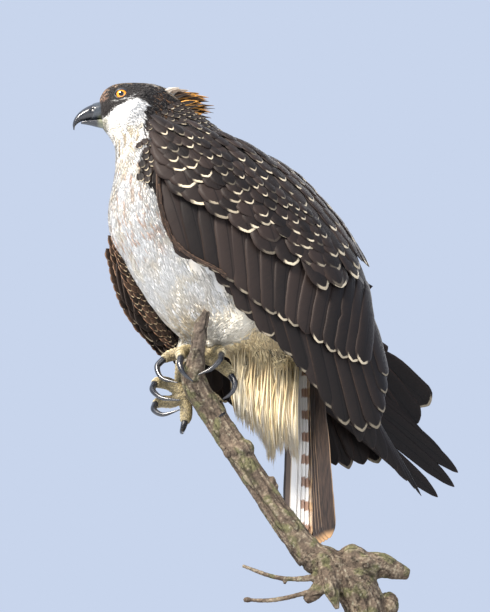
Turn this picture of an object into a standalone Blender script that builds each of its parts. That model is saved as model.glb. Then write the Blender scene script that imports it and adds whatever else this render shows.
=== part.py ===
# Life-size juvenile osprey, still, gripping a cut length of branch that a plain display stand holds up.
# Sizes are in millimetres and are turned into metres where a mesh is made.
# The bird's own frame: -X is forward, -Y its left side, +Z up; an empty turns it on the stand.
import math
import random

import bmesh
import bpy
import numpy as np
from mathutils import Matrix

METRES = 0.001
GAP = 0.3
SIDES = (("left", -1), ("right", 1))
RANDOM = random.Random(11)

# Where the bird stands over the base, and how far it is turned from the branch's plane
BIRD_PLACE = (-48.6, 0.0, 0.0)
BIRD_YAW = math.radians(20.0)
# The head looks a little to the bird's right, turned about the neck
HEAD_TURN = math.radians(-12.0)
NECK_AXIS_X = -100.0

# Body sections from the face to the rump: front point, back point (x, z), half width, share of the
# head's turn
BODY_SECTIONS = (
    ((-157.0, 611.0), (-160.5, 643.5), 11.5, 1.0),
    ((-153.5, 607.0), (-155.0, 653.5), 18.5, 1.0),
    ((-150.0, 603.0), (-142.5, 660.3), 25.0, 1.0),
    ((-147.0, 598.0), (-122.0, 662.5), 30.5, 1.0),
    ((-144.0, 592.5), (-100.0, 661.5), 33.5, 1.0),
    ((-142.0, 585.0), (-80.0, 654.0), 35.0, 1.0),
    ((-141.0, 574.0), (-66.0, 640.0), 38.0, 0.75),
    ((-141.0, 560.0), (-50.0, 629.0), 45.0, 0.35),
    ((-143.0, 540.0), (-30.0, 615.0), 53.0, 0.1),
    ((-146.0, 515.0), (-6.0, 595.5), 63.0, 0.0),
    ((-142.0, 490.0), (28.0, 575.5), 70.0, 0.0),
    ((-128.0, 465.0), (63.0, 545.5), 71.0, 0.0),
    ((-114.0, 440.0), (94.0, 511.0), 71.0, 0.0),
    ((-98.0, 415.0), (117.5, 473.5), 70.0, 0.0),
    ((-81.0, 396.0), (127.0, 441.0), 66.0, 0.0),
    ((-58.0, 381.0), (128.0, 416.0), 59.0, 0.0),
    ((-30.0, 371.0), (124.0, 398.0), 51.0, 0.0),
    ((0.0, 363.0), (116.0, 384.0), 43.0, 0.0),
    ((30.0, 357.0), (107.0, 373.0), 35.0, 0.0),
)
BODY_ROUNDNESS = 2.15
# Lengths of the body: first and last station, number of rings
BODY_LENGTHS = {"head": (0.0, 5.6, 13), "neck": (5.6, 8.0, 5), "torso": (8.0, 18.0, 12)}
STATION_TRIM = 0.012
RING_POINTS = 24

# Materials: colour, roughness, metallic
FINISHES = {
    "dark_feather": ((0.045, 0.032, 0.027, 1.0), 0.7, 0.0),
    "flight_feather": ((0.022, 0.016, 0.014, 1.0), 0.6, 0.0),
    "white_feather": ((0.72, 0.68, 0.6, 1.0), 0.85, 0.0),
    "buff_feather": ((0.72, 0.53, 0.25, 1.0), 0.85, 0.0),
    "horn": ((0.012, 0.013, 0.016, 1.0), 0.25, 0.0),
    "eye": ((0.85, 0.38, 0.02, 1.0), 0.08, 0.0),
    "scaly_skin": ((0.3, 0.28, 0.2, 1.0), 0.6, 0.0),
    "bark": ((0.11, 0.085, 0.06, 1.0), 0.85, 0.0),
    "stand_wood": ((0.14, 0.075, 0.04, 1.0), 0.4, 0.0),
    "stand_steel": ((0.3, 0.3, 0.31, 1.0), 0.35, 1.0),
}


def clear_scene():
    for old in list(bpy.data.objects):
        bpy.data.objects.remove(old, do_unlink=True)


def new_collection(name):
    collection = bpy.data.collections.new(name)
    bpy.context.scene.collection.children.link(collection)
    return collection


def finish(name):
    colour, roughness, metallic = FINISHES[name]
    material = bpy.data.materials.new(name)
    material.use_nodes = True
    shader = material.node_tree.nodes["Principled BSDF"]
    shader.inputs["Base Color"].default_value = colour
    shader.inputs["Roughness"].default_value = roughness
    shader.inputs["Metallic"].default_value = metallic
    material.diffuse_color = colour
    return material


def mesh_object(name, points, faces):
    """An object from points in millimetres and faces, with its normals turned outward."""
    mesh = bpy.data.meshes.new(name)
    mesh.from_pydata([tuple(float(c) * METRES for c in p) for p in points], [], faces)
    work = bmesh.new()
    work.from_mesh(mesh)
    bmesh.ops.recalc_face_normals(work, faces=work.faces)
    work.to_mesh(mesh)
    work.free()
    obj = bpy.data.objects.new(name, mesh)
    bpy.context.scene.collection.objects.link(obj)
    return obj


def unit(vector):
    vector = np.asarray(vector, dtype=float)
    return vector / np.linalg.norm(vector)


def smooth_line(points, fraction):
    """A point at a fraction of the way along a smooth curve through the points (Catmull-Rom)."""
    points = np.asarray(points, dtype=float)
    last = len(points) - 1
    place = min(max(fraction, 0.0), 1.0) * last
    k = min(int(place), last - 1)
    t = place - k
    before = points[k - 1] if k > 0 else 2.0 * points[0] - points[1]
    after = points[k + 2] if k + 2 <= last else 2.0 * points[last] - points[last - 1]
    start, end = points[k], points[k + 1]
    bend = 2.0 * before - 5.0 * start + 4.0 * end - after
    twist = 3.0 * start - before - 3.0 * end + after
    return 0.5 * (2.0 * start + (end - before) * t + bend * t ** 2 + twist * t ** 3)


def loft(name, rings):
    """A closed body through rings of the same number of points, capped flat at both ends."""
    count = len(rings[0])
    points = [p for ring in rings for p in ring]
    faces = []
    for j in range(len(rings) - 1):
        for i in range(count):
            here, there = j * count + i, j * count + (i + 1) % count
            faces.append((here, there, there + count, here + count))
    faces.append(tuple(reversed(range(count))))
    faces.append(tuple(range((len(rings) - 1) * count, len(rings) * count)))
    return mesh_object(name, points, faces)


def tube(name, centres, radii, sides):
    """A closed round body along centres with a radius at each."""
    centres = [np.asarray(c, dtype=float) for c in centres]
    rings = []
    side = np.array((0.0, 1.0, 0.0))
    for j, centre in enumerate(centres):
        ahead = centres[min(j + 1, len(centres) - 1)]
        behind = centres[max(j - 1, 0)]
        along = unit(ahead - behind)
        side = unit(side - along * np.dot(side, along))
        up = np.cross(along, side)
        ring = []
        for i in range(sides):
            angle = 2.0 * math.pi * i / sides
            ring.append(centre + radii[j] * (math.cos(angle) * side + math.sin(angle) * up))
        rings.append(ring)
    return loft(name, rings)


def apply_modifiers(obj):
    evaluated = obj.evaluated_get(bpy.context.evaluated_depsgraph_get())
    mesh = bpy.data.meshes.new_from_object(evaluated)
    obj.modifiers.clear()
    obj.data = mesh


def keep_largest(obj):
    """Keeps the largest closed surface of a mesh, which drops scraps and fills sealed hollows."""
    work = bmesh.new()
    work.from_mesh(obj.data)
    unseen = set(work.verts)
    islands = []
    while unseen:
        stack = [unseen.pop()]
        island = []
        while stack:
            vert = stack.pop()
            island.append(vert)
            for edge in vert.link_edges:
                other = edge.other_vert(vert)
                if other in unseen:
                    unseen.discard(other)
                    stack.append(other)
        islands.append(island)
    if len(islands) > 1:
        def spread(island):
            places = np.array([v.co for v in island])
            return float(np.linalg.norm(places.max(axis=0) - places.min(axis=0)))
        islands.sort(key=spread, reverse=True)
        loose = [v for island in islands[1:] for v in island]
        bmesh.ops.delete(work, geom=loose, context="VERTS")
    work.to_mesh(obj.data)
    work.free()


def boolean(obj, others, operation):
    """One Boolean of the object with a collection of others, applied; the others are removed."""
    group = bpy.data.collections.new("operands")
    bpy.context.scene.collection.children.link(group)
    for other in others:
        for owner in list(other.users_collection):
            owner.objects.unlink(other)
        group.objects.link(other)
    modifier = obj.modifiers.new("joined", "BOOLEAN")
    modifier.operand_type = "COLLECTION"
    modifier.collection = group
    modifier.operation = operation
    modifier.solver = "EXACT"
    apply_modifiers(obj)
    for other in others:
        bpy.data.objects.remove(other, do_unlink=True)
    bpy.data.collections.remove(group)
    keep_largest(obj)
    return obj


def swollen_copy(obj):
    """A copy grown outward by the gap that neighbours keep."""
    mesh = obj.data.copy()
    normals = [v.normal.copy() for v in mesh.vertices]
    for vert, normal in zip(mesh.vertices, normals):
        vert.co += normal * GAP * METRES
    copy = bpy.data.objects.new(obj.name + "_cutter", mesh)
    bpy.context.scene.collection.objects.link(copy)
    return copy


def carve(obj, neighbours):
    """Cuts the object clear of its neighbours, one at a time."""
    for neighbour in neighbours:
        boolean(obj, [swollen_copy(neighbour)], "DIFFERENCE")
    return obj


def turn_head(point, share):
    """Turns a point about the neck's upright axis by a share of the head's turn."""
    x, y, z = point
    angle = HEAD_TURN * share
    dx = x - NECK_AXIS_X
    return np.array((NECK_AXIS_X + dx * math.cos(angle) - y * math.sin(angle),
                     dx * math.sin(angle) + y * math.cos(angle), z))


def body_ring(place, count=RING_POINTS):
    """The body's section at a place along its stations, as a superellipse from front to back."""
    last = len(BODY_SECTIONS) - 1
    table = np.array([(*front, *back, width, turn) for front, back, width, turn in BODY_SECTIONS])
    fx, fz, bx, bz, width, turn = smooth_line(table, place / last)
    centre = np.array((0.5 * (fx + bx), 0.0, 0.5 * (fz + bz)))
    forward = np.array((0.5 * (fx - bx), 0.0, 0.5 * (fz - bz)))
    ring = []
    for i in range(count):
        angle = 2.0 * math.pi * i / count
        c, s = math.cos(angle), math.sin(angle)
        reach = math.copysign(abs(c) ** (2.0 / BODY_ROUNDNESS), c)
        side = math.copysign(abs(s) ** (2.0 / BODY_ROUNDNESS), s) * width
        ring.append(turn_head(centre + forward * reach + np.array((0.0, side, 0.0)), turn))
    return ring


def body_length(name):
    """One length of the body between two stations, short of each by half a gap."""
    start, end, rings = BODY_LENGTHS[name]
    places = np.linspace(start + (STATION_TRIM if start > 0 else 0.0), end - STATION_TRIM, rings)
    return loft(name, [body_ring(p) for p in places])


# Feathers: flat tapered vanes of three points across

# Shares of the length, and of the full width there
VANE_SHAPES = {
    "short": ((0.0, 0.6), (0.66, 1.0), (1.0, 0.45)),
    "middle": ((0.0, 0.5), (0.4, 0.95), (0.82, 1.0), (1.0, 0.42)),
    "long": ((0.0, 0.5), (0.35, 0.95), (0.86, 0.92), (1.0, 0.4)),
    "pointed": ((0.0, 0.5), (0.35, 0.97), (0.76, 0.88), (1.0, 0.32)),
    "spiky": ((0.0, 0.7), (0.55, 1.0), (1.0, 0.12)),
}
VANE_THICKNESS = 0.66
EDGE_SHARE = 0.8


def strip(name, stations):
    """A vane through stations of three points (left, middle, right), split alike on both faces."""
    points = []
    last = len(stations) - 1
    for k, station in enumerate(stations):
        ahead, behind = stations[min(k + 1, last)][1], stations[max(k - 1, 0)][1]
        normal = unit(np.cross(station[2] - station[0], ahead - behind))
        for sign in (1.0, -1.0):
            for j, point in enumerate(station):
                share = 1.0 if j == 1 else EDGE_SHARE
                points.append(point + sign * 0.5 * VANE_THICKNESS * share * normal)
    faces = []
    for k in range(last):
        here, there = 6 * k, 6 * k + 6
        for face in (0, 3):
            a, b, c = here + face, here + face + 1, here + face + 2
            d, e, f = there + face, there + face + 1, there + face + 2
            faces += [(a, b, d), (b, e, d), (b, c, f), (b, f, e)]
        for edge in (0, 2):
            a, b, c, d = here + edge, here + edge + 3, there + edge + 3, there + edge
            faces += [(a, b, c), (a, c, d)]
    for end in (0, 6 * last):
        faces += [(end, end + 1, end + 4, end + 3), (end + 1, end + 2, end + 5, end + 4)]
    return mesh_object(name, points, faces)


def free_vane(name, root, tip, across, width, shape, bow=(0.0, 0.0, 0.0)):
    """A vane from a root to a tip in open air, its width along across, bent by a bow at its middle."""
    root, tip, across, bow = (np.asarray(v, dtype=float) for v in (root, tip, across, bow))
    along = unit(tip - root)
    across = unit(across - along * np.dot(across, along))
    stations = []
    for t, share in VANE_SHAPES[shape]:
        middle = root + (tip - root) * t + bow * 4.0 * t * (1.0 - t)
        half = 0.5 * width * share * across
        stations.append((middle - half, middle, middle + half))
    return strip(name, stations)


# The folded wing's outer sheet

# It runs along an axis from the shoulder to the tips; across it the sheet curves from the body's middle line
# behind (angle 90 degrees) over its widest line (0) to the wing's lower edge in front (below 0).
SHOULDER = (-110.0, 570.0)
WING_AXIS = (0.664, -0.748)
SHEET_CREST = -5.0
LOW_REACH = {"left": 110.0, "right": 138.0}
STEEPEST = math.radians(84.0)
SHEET_ALONG = {
    "left": (-60.0, 0.0, 63.0, 117.0, 185.0, 247.0, 303.0, 350.0, 380.0, 500.0),
    "right": (-60.0, 0.0, 63.0, 117.0, 185.0, 247.0, 303.0, 350.0, 400.0, 500.0),
}
SHEET_BACK = {
    "left": (56.0, 84.0, 114.5, 130.0, 134.5, 124.0, 107.0, 83.0, 62.0, 48.0),
    "right": (56.0, 84.0, 114.5, 130.0, 134.5, 136.0, 168.0, 195.0, 200.0, 200.0),
}
SHEET_BULGE = {
    "left": (52.0, 76.0, 93.0, 99.0, 99.0, 94.0, 84.0, 74.0, 66.0, 34.0),
    "right": (52.0, 76.0, 93.0, 99.0, 99.0, 94.0, 86.0, 77.0, 66.0, 46.0),
}
SOFTENING = 18.0
ANGLE_LIMITS = (-0.98, 0.99)
MIDDLE_CLEARANCE = 0.75
TURN_STEP = 0.02
TIGHTEST_BEND = 12.0


def sheet_sizes(along, name):
    """The sheet's back edge and bulge at a distance along it, with the tables' corners softened."""
    sizes = np.zeros(2)
    for shift, weight in ((-SOFTENING, 0.25), (0.0, 0.5), (SOFTENING, 0.25)):
        for k, table in enumerate((SHEET_BACK, SHEET_BULGE)):
            sizes[k] += weight * np.interp(along + shift, SHEET_ALONG[name], table[name])
    return sizes


def sheet_place(point, name):
    """The distance along and the angle round the sheet of a point (x, z) seen from the side."""
    dx, dz = point[0] - SHOULDER[0], point[1] - SHOULDER[1]
    along = dx * WING_AXIS[0] + dz * WING_AXIS[1]
    across = dz * WING_AXIS[0] - dx * WING_AXIS[1] - SHEET_CREST
    back, _ = sheet_sizes(along, name)
    reach = back - SHEET_CREST if across > 0 else LOW_REACH[name]
    return along, math.asin(max(ANGLE_LIMITS[0], min(ANGLE_LIMITS[1], across / reach)))


def sheet_surface(along, angle, name):
    back, bulge = sheet_sizes(along, name)
    reach = back - SHEET_CREST if angle > 0 else LOW_REACH[name]
    across = SHEET_CREST + reach * math.sin(angle)
    x = SHOULDER[0] + along * WING_AXIS[0] - across * WING_AXIS[1]
    z = SHOULDER[1] + along * WING_AXIS[1] + across * WING_AXIS[0]
    return np.array((x, dict(SIDES)[name] * bulge * math.cos(angle), z))


def sheet_point(along, angle, height, name):
    """A point over the sheet, kept on its own side of the bird's middle."""
    side = dict(SIDES)[name]
    angle = min(angle, STEEPEST)
    step, turn = 2.0, 0.03
    forward = sheet_surface(along + step, angle, name) - sheet_surface(along - step, angle, name)
    round_it = sheet_surface(along, angle + turn, name) - sheet_surface(along, angle - turn, name)
    outward = -side * unit(np.cross(forward, round_it))
    point = sheet_surface(along, angle, name) + height * outward
    point[1] = side * max(side * point[1], MIDDLE_CLEARANCE)
    return point


def sheet_vane(root, tip, width, heights, lift, shape, name):
    """A feather lying on the sheet between places (along, angle); lift raises its front edge."""
    (start, first), (end, final) = root, tip
    middle = sheet_surface(0.5 * (start + end), 0.5 * (first + final), name)
    turned = sheet_surface(0.5 * (start + end), 0.5 * (first + final) + TURN_STEP, name)
    radius = max(np.linalg.norm(turned - middle) / TURN_STEP, TIGHTEST_BEND)
    a, b = unit((end - start, radius * (final - first)))
    stations = []
    for t, share in VANE_SHAPES[shape]:
        height = float(np.interp(t, np.linspace(0.0, 1.0, len(heights)), heights))
        half = 0.5 * width * share
        row = []
        for offset in (-half, 0.0, half):
            along = start + t * (end - start) - b * offset
            angle = first + t * (final - first) + a * offset / radius
            row.append(sheet_point(along, angle, height - lift * offset, name))
        stations.append(row)
    return strip("vane", stations)


# How fast a plate thickens from its rim, and how fast its bow fades away from its front
RIM_SLOPE = 3.0
BOW_FADE = 4


def slab(name, upper, lower, columns, rows, depths, wing, bow=0.0):
    """A plate on the sheet between two lines of places; depths are its outer, inner and edge heights."""
    outer, inner, edge = depths
    grids = ([], [])
    for j in range(rows):
        r = j / (rows - 1)
        for i in range(columns):
            f = i / (columns - 1)
            along, angle = (1.0 - r) * smooth_line(upper, f) + r * smooth_line(lower, f)
            push = bow * 4.0 * r * (1.0 - r) * (1.0 - f) ** BOW_FADE
            along, angle = along - WING_AXIS[0] * push, angle + WING_AXIS[1] * push / LOW_REACH[wing]
            rim = min(1.0, RIM_SLOPE * min(1.0 - r, r, f, 1.0 - f))
            grids[0].append(sheet_point(along, angle, outer, wing))
            grids[1].append(sheet_point(along, angle, edge + rim * (inner - edge), wing))
    layer = rows * columns
    faces = []
    for j in range(rows - 1):
        for i in range(columns - 1):
            a, b = j * columns + i, j * columns + i + 1
            c, d = a + columns, b + columns
            for base in (0, layer):
                faces.append((base + a, base + b, base + c))
                faces.append((base + b, base + d, base + c))
    border = [i for i in range(columns)]
    border += [j * columns + columns - 1 for j in range(1, rows)]
    border += [(rows - 1) * columns + i for i in range(columns - 2, -1, -1)]
    border += [j * columns for j in range(rows - 2, 0, -1)]
    for k, here in enumerate(border):
        there = border[(k + 1) % len(border)]
        faces.append((here, there, layer + there))
        faces.append((here, layer + there, layer + here))
    return mesh_object(name, grids[0] + grids[1], faces)


# Head, bill and eyes

# Bill sections in the head's frame before its turn: ridge point, lower edge point (x, z), half width
UPPER_BILL = (
    ((-151.0, 641.0), (-149.0, 621.6), 8.8),
    ((-156.0, 640.5), (-155.0, 620.6), 9.0),
    ((-162.5, 639.0), (-160.5, 619.6), 8.8),
    ((-169.0, 636.2), (-166.5, 618.6), 8.0),
    ((-176.5, 631.6), (-173.0, 617.4), 6.8),
    ((-183.0, 625.4), (-179.0, 615.9), 5.2),
    ((-187.3, 618.0), (-183.2, 613.2), 3.5),
    ((-188.6, 611.6), (-185.8, 609.4), 2.1),
    ((-187.6, 605.6), (-186.4, 605.2), 0.8),
)
LOWER_BILL = (
    ((-149.0, 620.6), (-150.0, 609.6), 7.8),
    ((-155.5, 619.6), (-156.5, 609.8), 7.4),
    ((-162.0, 618.6), (-163.0, 610.9), 6.4),
    ((-168.5, 617.5), (-169.0, 612.2), 5.2),
    ((-174.5, 616.3), (-175.0, 613.0), 3.8),
    ((-179.5, 614.8), (-179.8, 613.2), 2.0),
)
NOSTRIL = (-168.5, 7.2, 627.5)
NOSTRIL_RADII = (2.4, 2.2, 1.2)
NOSTRIL_TILT = math.radians(35.0)
EYE_CENTRE = (-136.8, 19.8, 639.8)
EYE_RADIUS = 8.2
LID_THICKNESS = 1.3
LID_OPENING = (6.7, 7.0, 5.3)
LID_TILT = math.radians(-14.0)
# Points round each mandible, and how much the upper one narrows into a keel
BILL_POINTS = {"upper": 12, "lower": 10}
KEEL = 0.45

# Crest feathers at the nape: root and tip (x, z) in the head's frame, from the crown down; the lower ones
# grow from the neck
CROWN_CREST = (
    ((-100.0, 651.5), (-71.7, 658.0)),
    ((-93.0, 648.5), (-60.0, 656.5)),
    ((-88.0, 646.0), (-46.1, 653.0)),
    ((-86.0, 645.5), (-40.0, 648.5)),
)
NAPE_CREST = (
    ((-77.0, 634.0), (-31.0, 640.5)),
    ((-75.0, 627.0), (-33.5, 631.0)),
    ((-72.0, 619.0), (-42.6, 619.7)),
)
# Files of the crest across the nape: side shift of roots and tips, share of length, turn of the face
CREST_FILES = ((0.0, 0.0, 1.0, 35.0), (11.0, 14.0, 0.86, 62.0), (-11.0, -14.0, 0.9, -62.0))
CREST_WIDTH = 7.5
CREST_WANDER = 10.0
CREST_BOW = (0.0, 0.0, 2.0)


def bill_half(name, sections, count, ridge):
    """A mandible as a loft; ridge above 0 narrows its upper side into a keel."""
    rings = []
    for (tx, tz), (bx, bz), width in sections:
        ring = []
        for i in range(count):
            angle = 2.0 * math.pi * i / count
            lift = 0.5 * (1.0 + math.cos(angle))
            spread = width * math.sin(angle)
            if math.cos(angle) > 0:
                spread *= 1.0 - ridge * math.cos(angle) ** 2
            x = bx + (tx - bx) * lift
            z = bz + (tz - bz) * lift
            ring.append(turn_head((x, spread, z), 1.0))
        rings.append(ring)
    return loft(name, rings)


def ball(name, centre, radii, segments=16, rings=10, tilt=0.0):
    """An ellipsoid in the bird's frame."""
    bpy.ops.mesh.primitive_uv_sphere_add(segments=segments, ring_count=rings, radius=METRES)
    obj = bpy.context.active_object
    obj.name = name
    obj.data.transform(Matrix.Diagonal((*radii, 1.0)))
    obj.data.transform(Matrix.Rotation(tilt, 4, "Y"))
    obj.data.transform(Matrix.Translation([c * METRES for c in centre]))
    return obj


def on_head(point, side):
    x, y, z = point
    return turn_head((x, side * y, z), 1.0)


def make_bills():
    upper = bill_half("bill_upper", UPPER_BILL, BILL_POINTS["upper"], KEEL)
    nostrils = []
    for _, side in SIDES:
        nostrils.append(ball("nostril", on_head(NOSTRIL, side), NOSTRIL_RADII, 6, 4, NOSTRIL_TILT))
    boolean(upper, nostrils, "DIFFERENCE")
    return [upper, bill_half("bill_lower", LOWER_BILL, BILL_POINTS["lower"], 0.0)]


def crest_feathers(rows):
    feathers = []
    for root_shift, tip_shift, length, turn in CREST_FILES:
        for (rx, rz), (tx, tz) in rows:
            stretch = length * RANDOM.uniform(0.94, 1.0)
            start = turn_head((rx, root_shift, rz), 1.0)
            end = turn_head((rx + stretch * (tx - rx), tip_shift, rz + stretch * (tz - rz)), 1.0)
            along = unit(end - start)
            flat = unit(np.cross(along, (0.0, 1.0, 0.0)))
            angle = math.radians(turn + RANDOM.uniform(-CREST_WANDER, CREST_WANDER))
            across = math.cos(angle) * np.array((0.0, 1.0, 0.0)) + math.sin(angle) * flat
            feathers.append(free_vane("crest", start, end, across, CREST_WIDTH, "spiky", CREST_BOW))
    return feathers


def make_head(bills, eyes):
    head = body_length("head")
    lids, sockets = [], []
    for _, side in SIDES:
        shell = EYE_RADIUS + GAP + LID_THICKNESS
        lids.append(ball("lids", on_head(EYE_CENTRE, side), (shell, shell, shell), 12, 7))
        outward = (EYE_CENTRE[0], EYE_CENTRE[1] + EYE_RADIUS, EYE_CENTRE[2])
        sockets.append(ball("opening", on_head(outward, side), LID_OPENING, 10, 6, LID_TILT))
    boolean(head, lids + crest_feathers(CROWN_CREST), "UNION")
    boolean(head, sockets, "DIFFERENCE")
    carve(head, bills + eyes)
    return head


# Wings: lines are (x, z) seen from the side, from the wing's front to its back; the top edge is given as
# distances along the sheet and angles round it, and all but meets the other wing's over the lower back

COVERT_TOP = ((-19.0, 8.0), (-10.0, 32.0), (26.0, 56.0), (72.0, 74.0), (130.0, 84.0), (196.0, 84.0),
              (258.0, 84.0))
COVERT_EDGE = {
    "left": ((-124.0, 518.0), (-64.0, 505.0), (-8.0, 480.0), (50.0, 458.0), (98.0, 440.0), (136.0, 430.0)),
    "right": ((-131.0, 518.0), (-72.0, 502.0), (-12.0, 478.0), (50.0, 458.0), (98.0, 440.0), (136.0, 430.0)),
}
SECONDARY_EDGE = {
    "left": ((-112.0, 489.0), (-58.0, 478.0), (-4.0, 453.0), (50.0, 430.0), (98.0, 413.0), (138.0, 402.0)),
    "right": ((-121.0, 486.0), (-67.0, 474.0), (-8.0, 451.0), (50.0, 430.0), (98.0, 413.0), (144.0, 408.0)),
}
HAND_TOP = ((-30.0, 484.0), (20.0, 464.0), (70.0, 446.0), (110.0, 430.0))
HAND_EDGE = ((-26.0, 452.0), (24.0, 434.0), (74.0, 413.0), (112.0, 398.0))
WRIST_BOW = 13.0

GREATER_TIPS = {
    "left": ((-92.0, 443.0), (-47.0, 422.0), (-3.0, 390.0), (33.0, 373.0), (78.0, 351.0), (116.0, 346.0)),
    "right": ((-113.0, 440.0), (-76.0, 402.0), (-16.0, 370.0), (42.0, 348.0), (106.0, 342.0), (172.0, 366.0),
              (208.0, 404.0)),
}
SECONDARY_TIPS = {
    "left": ((-90.0, 441.0), (-54.0, 416.0), (-16.0, 375.0), (34.0, 343.0), (65.0, 314.0), (94.0, 282.0),
             (131.0, 281.0), (144.0, 318.0), (150.0, 356.0)),
    "right": ((-107.0, 434.0), (-92.0, 395.0), (-61.0, 367.0), (-14.0, 338.0), (36.0, 308.0), (92.0, 274.0),
              (148.0, 258.0), (214.0, 284.0), (270.0, 372.0)),
}
MEDIAN_TIPS = ((-104.0, 512.0), (-72.0, 492.0), (-33.0, 471.0), (3.0, 444.0), (52.0, 430.0), (92.0, 424.0))
LESSER_TIPS = ((-113.0, 541.0), (-82.0, 524.0), (-42.0, 503.0), (0.0, 478.0), (48.0, 462.0))
SHOULDER_TIPS = ((-113.0, 570.0), (-84.0, 557.0), (-48.0, 537.0), (-8.0, 512.0))
# Rows of feathers on the coverts: tips, shift of the roots, count, width, heights from root to tip
COVERT_ROWS = (
    (MEDIAN_TIPS, (-13.0, 38.0), 7, 30.0, (-2.6, 0.6, 2.4, 2.8)),
    (LESSER_TIPS, (-15.0, 36.0), 5, 33.0, (-2.6, 0.9, 3.2, 4.0)),
    (SHOULDER_TIPS, (-19.0, 33.0), 4, 29.0, (-1.6, 1.6, 4.2, 5.2)),
)
GREATER_COUNT = 9
GREATER_WIDTH = 31.0
GREATER_HEIGHT = -2.6
# Where the first feather of a row stands, and how much the row stops short of its line's end, in feathers
GREATER_SPREAD = (0.6, 0.3)
EVEN_SPREAD = (0.5, 0.0)
SECONDARY_SPREAD = (0.5, 0.2)
HAND_SPAN = (0.92, 0.12)
# Scapulars: distances along the sheet and angles round it of their roots
SCAPULAR_ALONG = (18.0, 62.0, 106.0, 150.0)
SCAPULAR_ANGLES = (29.0, 49.0, 69.0)
SCAPULAR_LENGTH = 68.0
SCAPULAR_DROP = 7.0
SCAPULAR_STAGGER = 14.0
SECONDARY_COUNT = 11
SECONDARY_WIDTH = 31.0
SECONDARY_HEIGHTS = (-8.4, -8.4, -7.4)
PRIMARY_TIPS = {
    "left": ((116.0, 266.0), (134.0, 260.0), (152.0, 250.0), (168.0, 241.0), (182.0, 232.0), (194.0, 225.0),
             (205.0, 219.0)),
    "right": ((203.0, 313.0), (227.0, 298.0), (248.0, 283.5), (264.0, 269.0), (274.0, 257.0), (268.0, 240.0),
              (247.0, 227.0)),
}
PRIMARY_WIDTH = 21.0
PRIMARY_HEIGHT = -14.6
PRIMARY_STEP = 1.05
# Plates under the feathers: outer, inner and edge heights; columns, rows; bow at the front
ARM_PLATE = ((0.0, -24.0, -12.0), 9, 7, WRIST_BOW)
FOREARM_PLATE = ((-5.2, -12.0, -12.0), 9, 3, 0.0)
HAND_PLATE = ((-11.6, -22.6, -22.6), 5, 3, 0.0)
ROOT_SHIFT = {"greater": (0.0, 12.0), "secondary": (0.0, 15.0), "primary": (-2.0, 15.0), "plate": (0.0, 0.4)}
# Rise of each feather's front edge over the next one, as a share of its half width; the scapulars' form is
# their width, heights, rise and shape
COVERT_LIFT = 0.068
SECONDARY_LIFT = 0.1
PRIMARY_LIFT = 0.01
SCAPULAR_FORM = (31.0, (-2.0, 1.6, 4.0, 5.0), 0.05, "short")


def shifted(line, dx, dz):
    return tuple((x + dx, z + dz) for x, z in line)


def places(line, name):
    return [sheet_place(point, name) for point in line]


def plate(node, upper, lower, form, name):
    depths, columns, rows, bow = form
    return slab(node, upper, lower, columns, rows, depths, name, bow)


def row_vanes(starts, tips, count, spread, form, name):
    """A row of feathers between two lines; form is their width, heights, lift and shape."""
    first, spare = spread
    vanes = []
    for k in range(count):
        f = (k + first) / (count + spare)
        root, tip = (sheet_place(smooth_line(line, f), name) for line in (starts, tips))
        vanes.append(sheet_vane(root, tip, *form, name))
    return vanes


def make_coverts(name):
    """The wing's arm and shoulder with its coverts and scapulars."""
    top = [(along, math.radians(angle)) for along, angle in COVERT_TOP]
    core = plate(f"wing_{name}_coverts", top, places(COVERT_EDGE[name], name), ARM_PLATE, name)
    form = (GREATER_WIDTH, (GREATER_HEIGHT,) * 2, COVERT_LIFT, "middle")
    roots = shifted(COVERT_EDGE[name], *ROOT_SHIFT["greater"])
    vanes = row_vanes(roots, GREATER_TIPS[name], GREATER_COUNT, GREATER_SPREAD, form, name)
    for tips, shift, count, width, heights in COVERT_ROWS:
        form = (width, heights, COVERT_LIFT, "short")
        vanes += row_vanes(shifted(tips, *shift), tips, count, EVEN_SPREAD, form, name)
    for row, angle in enumerate(SCAPULAR_ANGLES):
        first, final = math.radians(angle), math.radians(angle - SCAPULAR_DROP)
        for along in SCAPULAR_ALONG:
            start = along + SCAPULAR_STAGGER * (row % 2)
            length = SCAPULAR_LENGTH * RANDOM.uniform(0.95, 1.05)
            vanes.append(sheet_vane((start, first), (start + length, final), *SCAPULAR_FORM, name))
    return core, vanes


def make_secondaries(name):
    start = places(shifted(COVERT_EDGE[name], *ROOT_SHIFT["plate"]), name)
    end = places(SECONDARY_EDGE[name], name)
    core = plate(f"wing_{name}_secondaries", start, end, FOREARM_PLATE, name)
    form = (SECONDARY_WIDTH, SECONDARY_HEIGHTS, SECONDARY_LIFT, "long")
    roots = shifted(SECONDARY_EDGE[name], *ROOT_SHIFT["secondary"])
    return core, row_vanes(roots, SECONDARY_TIPS[name], SECONDARY_COUNT, SECONDARY_SPREAD, form, name)


def make_primaries(name):
    core = plate(f"wing_{name}_primaries", places(HAND_TOP, name), places(HAND_EDGE, name), HAND_PLATE, name)
    roots = shifted(HAND_EDGE, *ROOT_SHIFT["primary"])
    tips = PRIMARY_TIPS[name]
    vanes = []
    for k, (f, point) in enumerate(zip(np.linspace(*HAND_SPAN, len(tips)), tips)):
        height = PRIMARY_HEIGHT - PRIMARY_STEP * k
        root, tip = sheet_place(smooth_line(roots, f), name), sheet_place(point, name)
        vanes.append(sheet_vane(root, tip, PRIMARY_WIDTH, (height, height), PRIMARY_LIFT, "pointed", name))
    return core, vanes


# Tail and the plume under it

TAIL_TWIST = math.radians(22.0)
# The tail's core: centre line (x, z), half widths and depths
TAIL_CORE = (((82.0, 364.0), 22.0, 7.0), ((80.0, 345.0), 23.0, 7.5), ((78.0, 326.0), 21.0, 6.5))
TAIL_ROOT = (79.0, 346.0)
TAIL_END = (79.5, 167.0)
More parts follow.
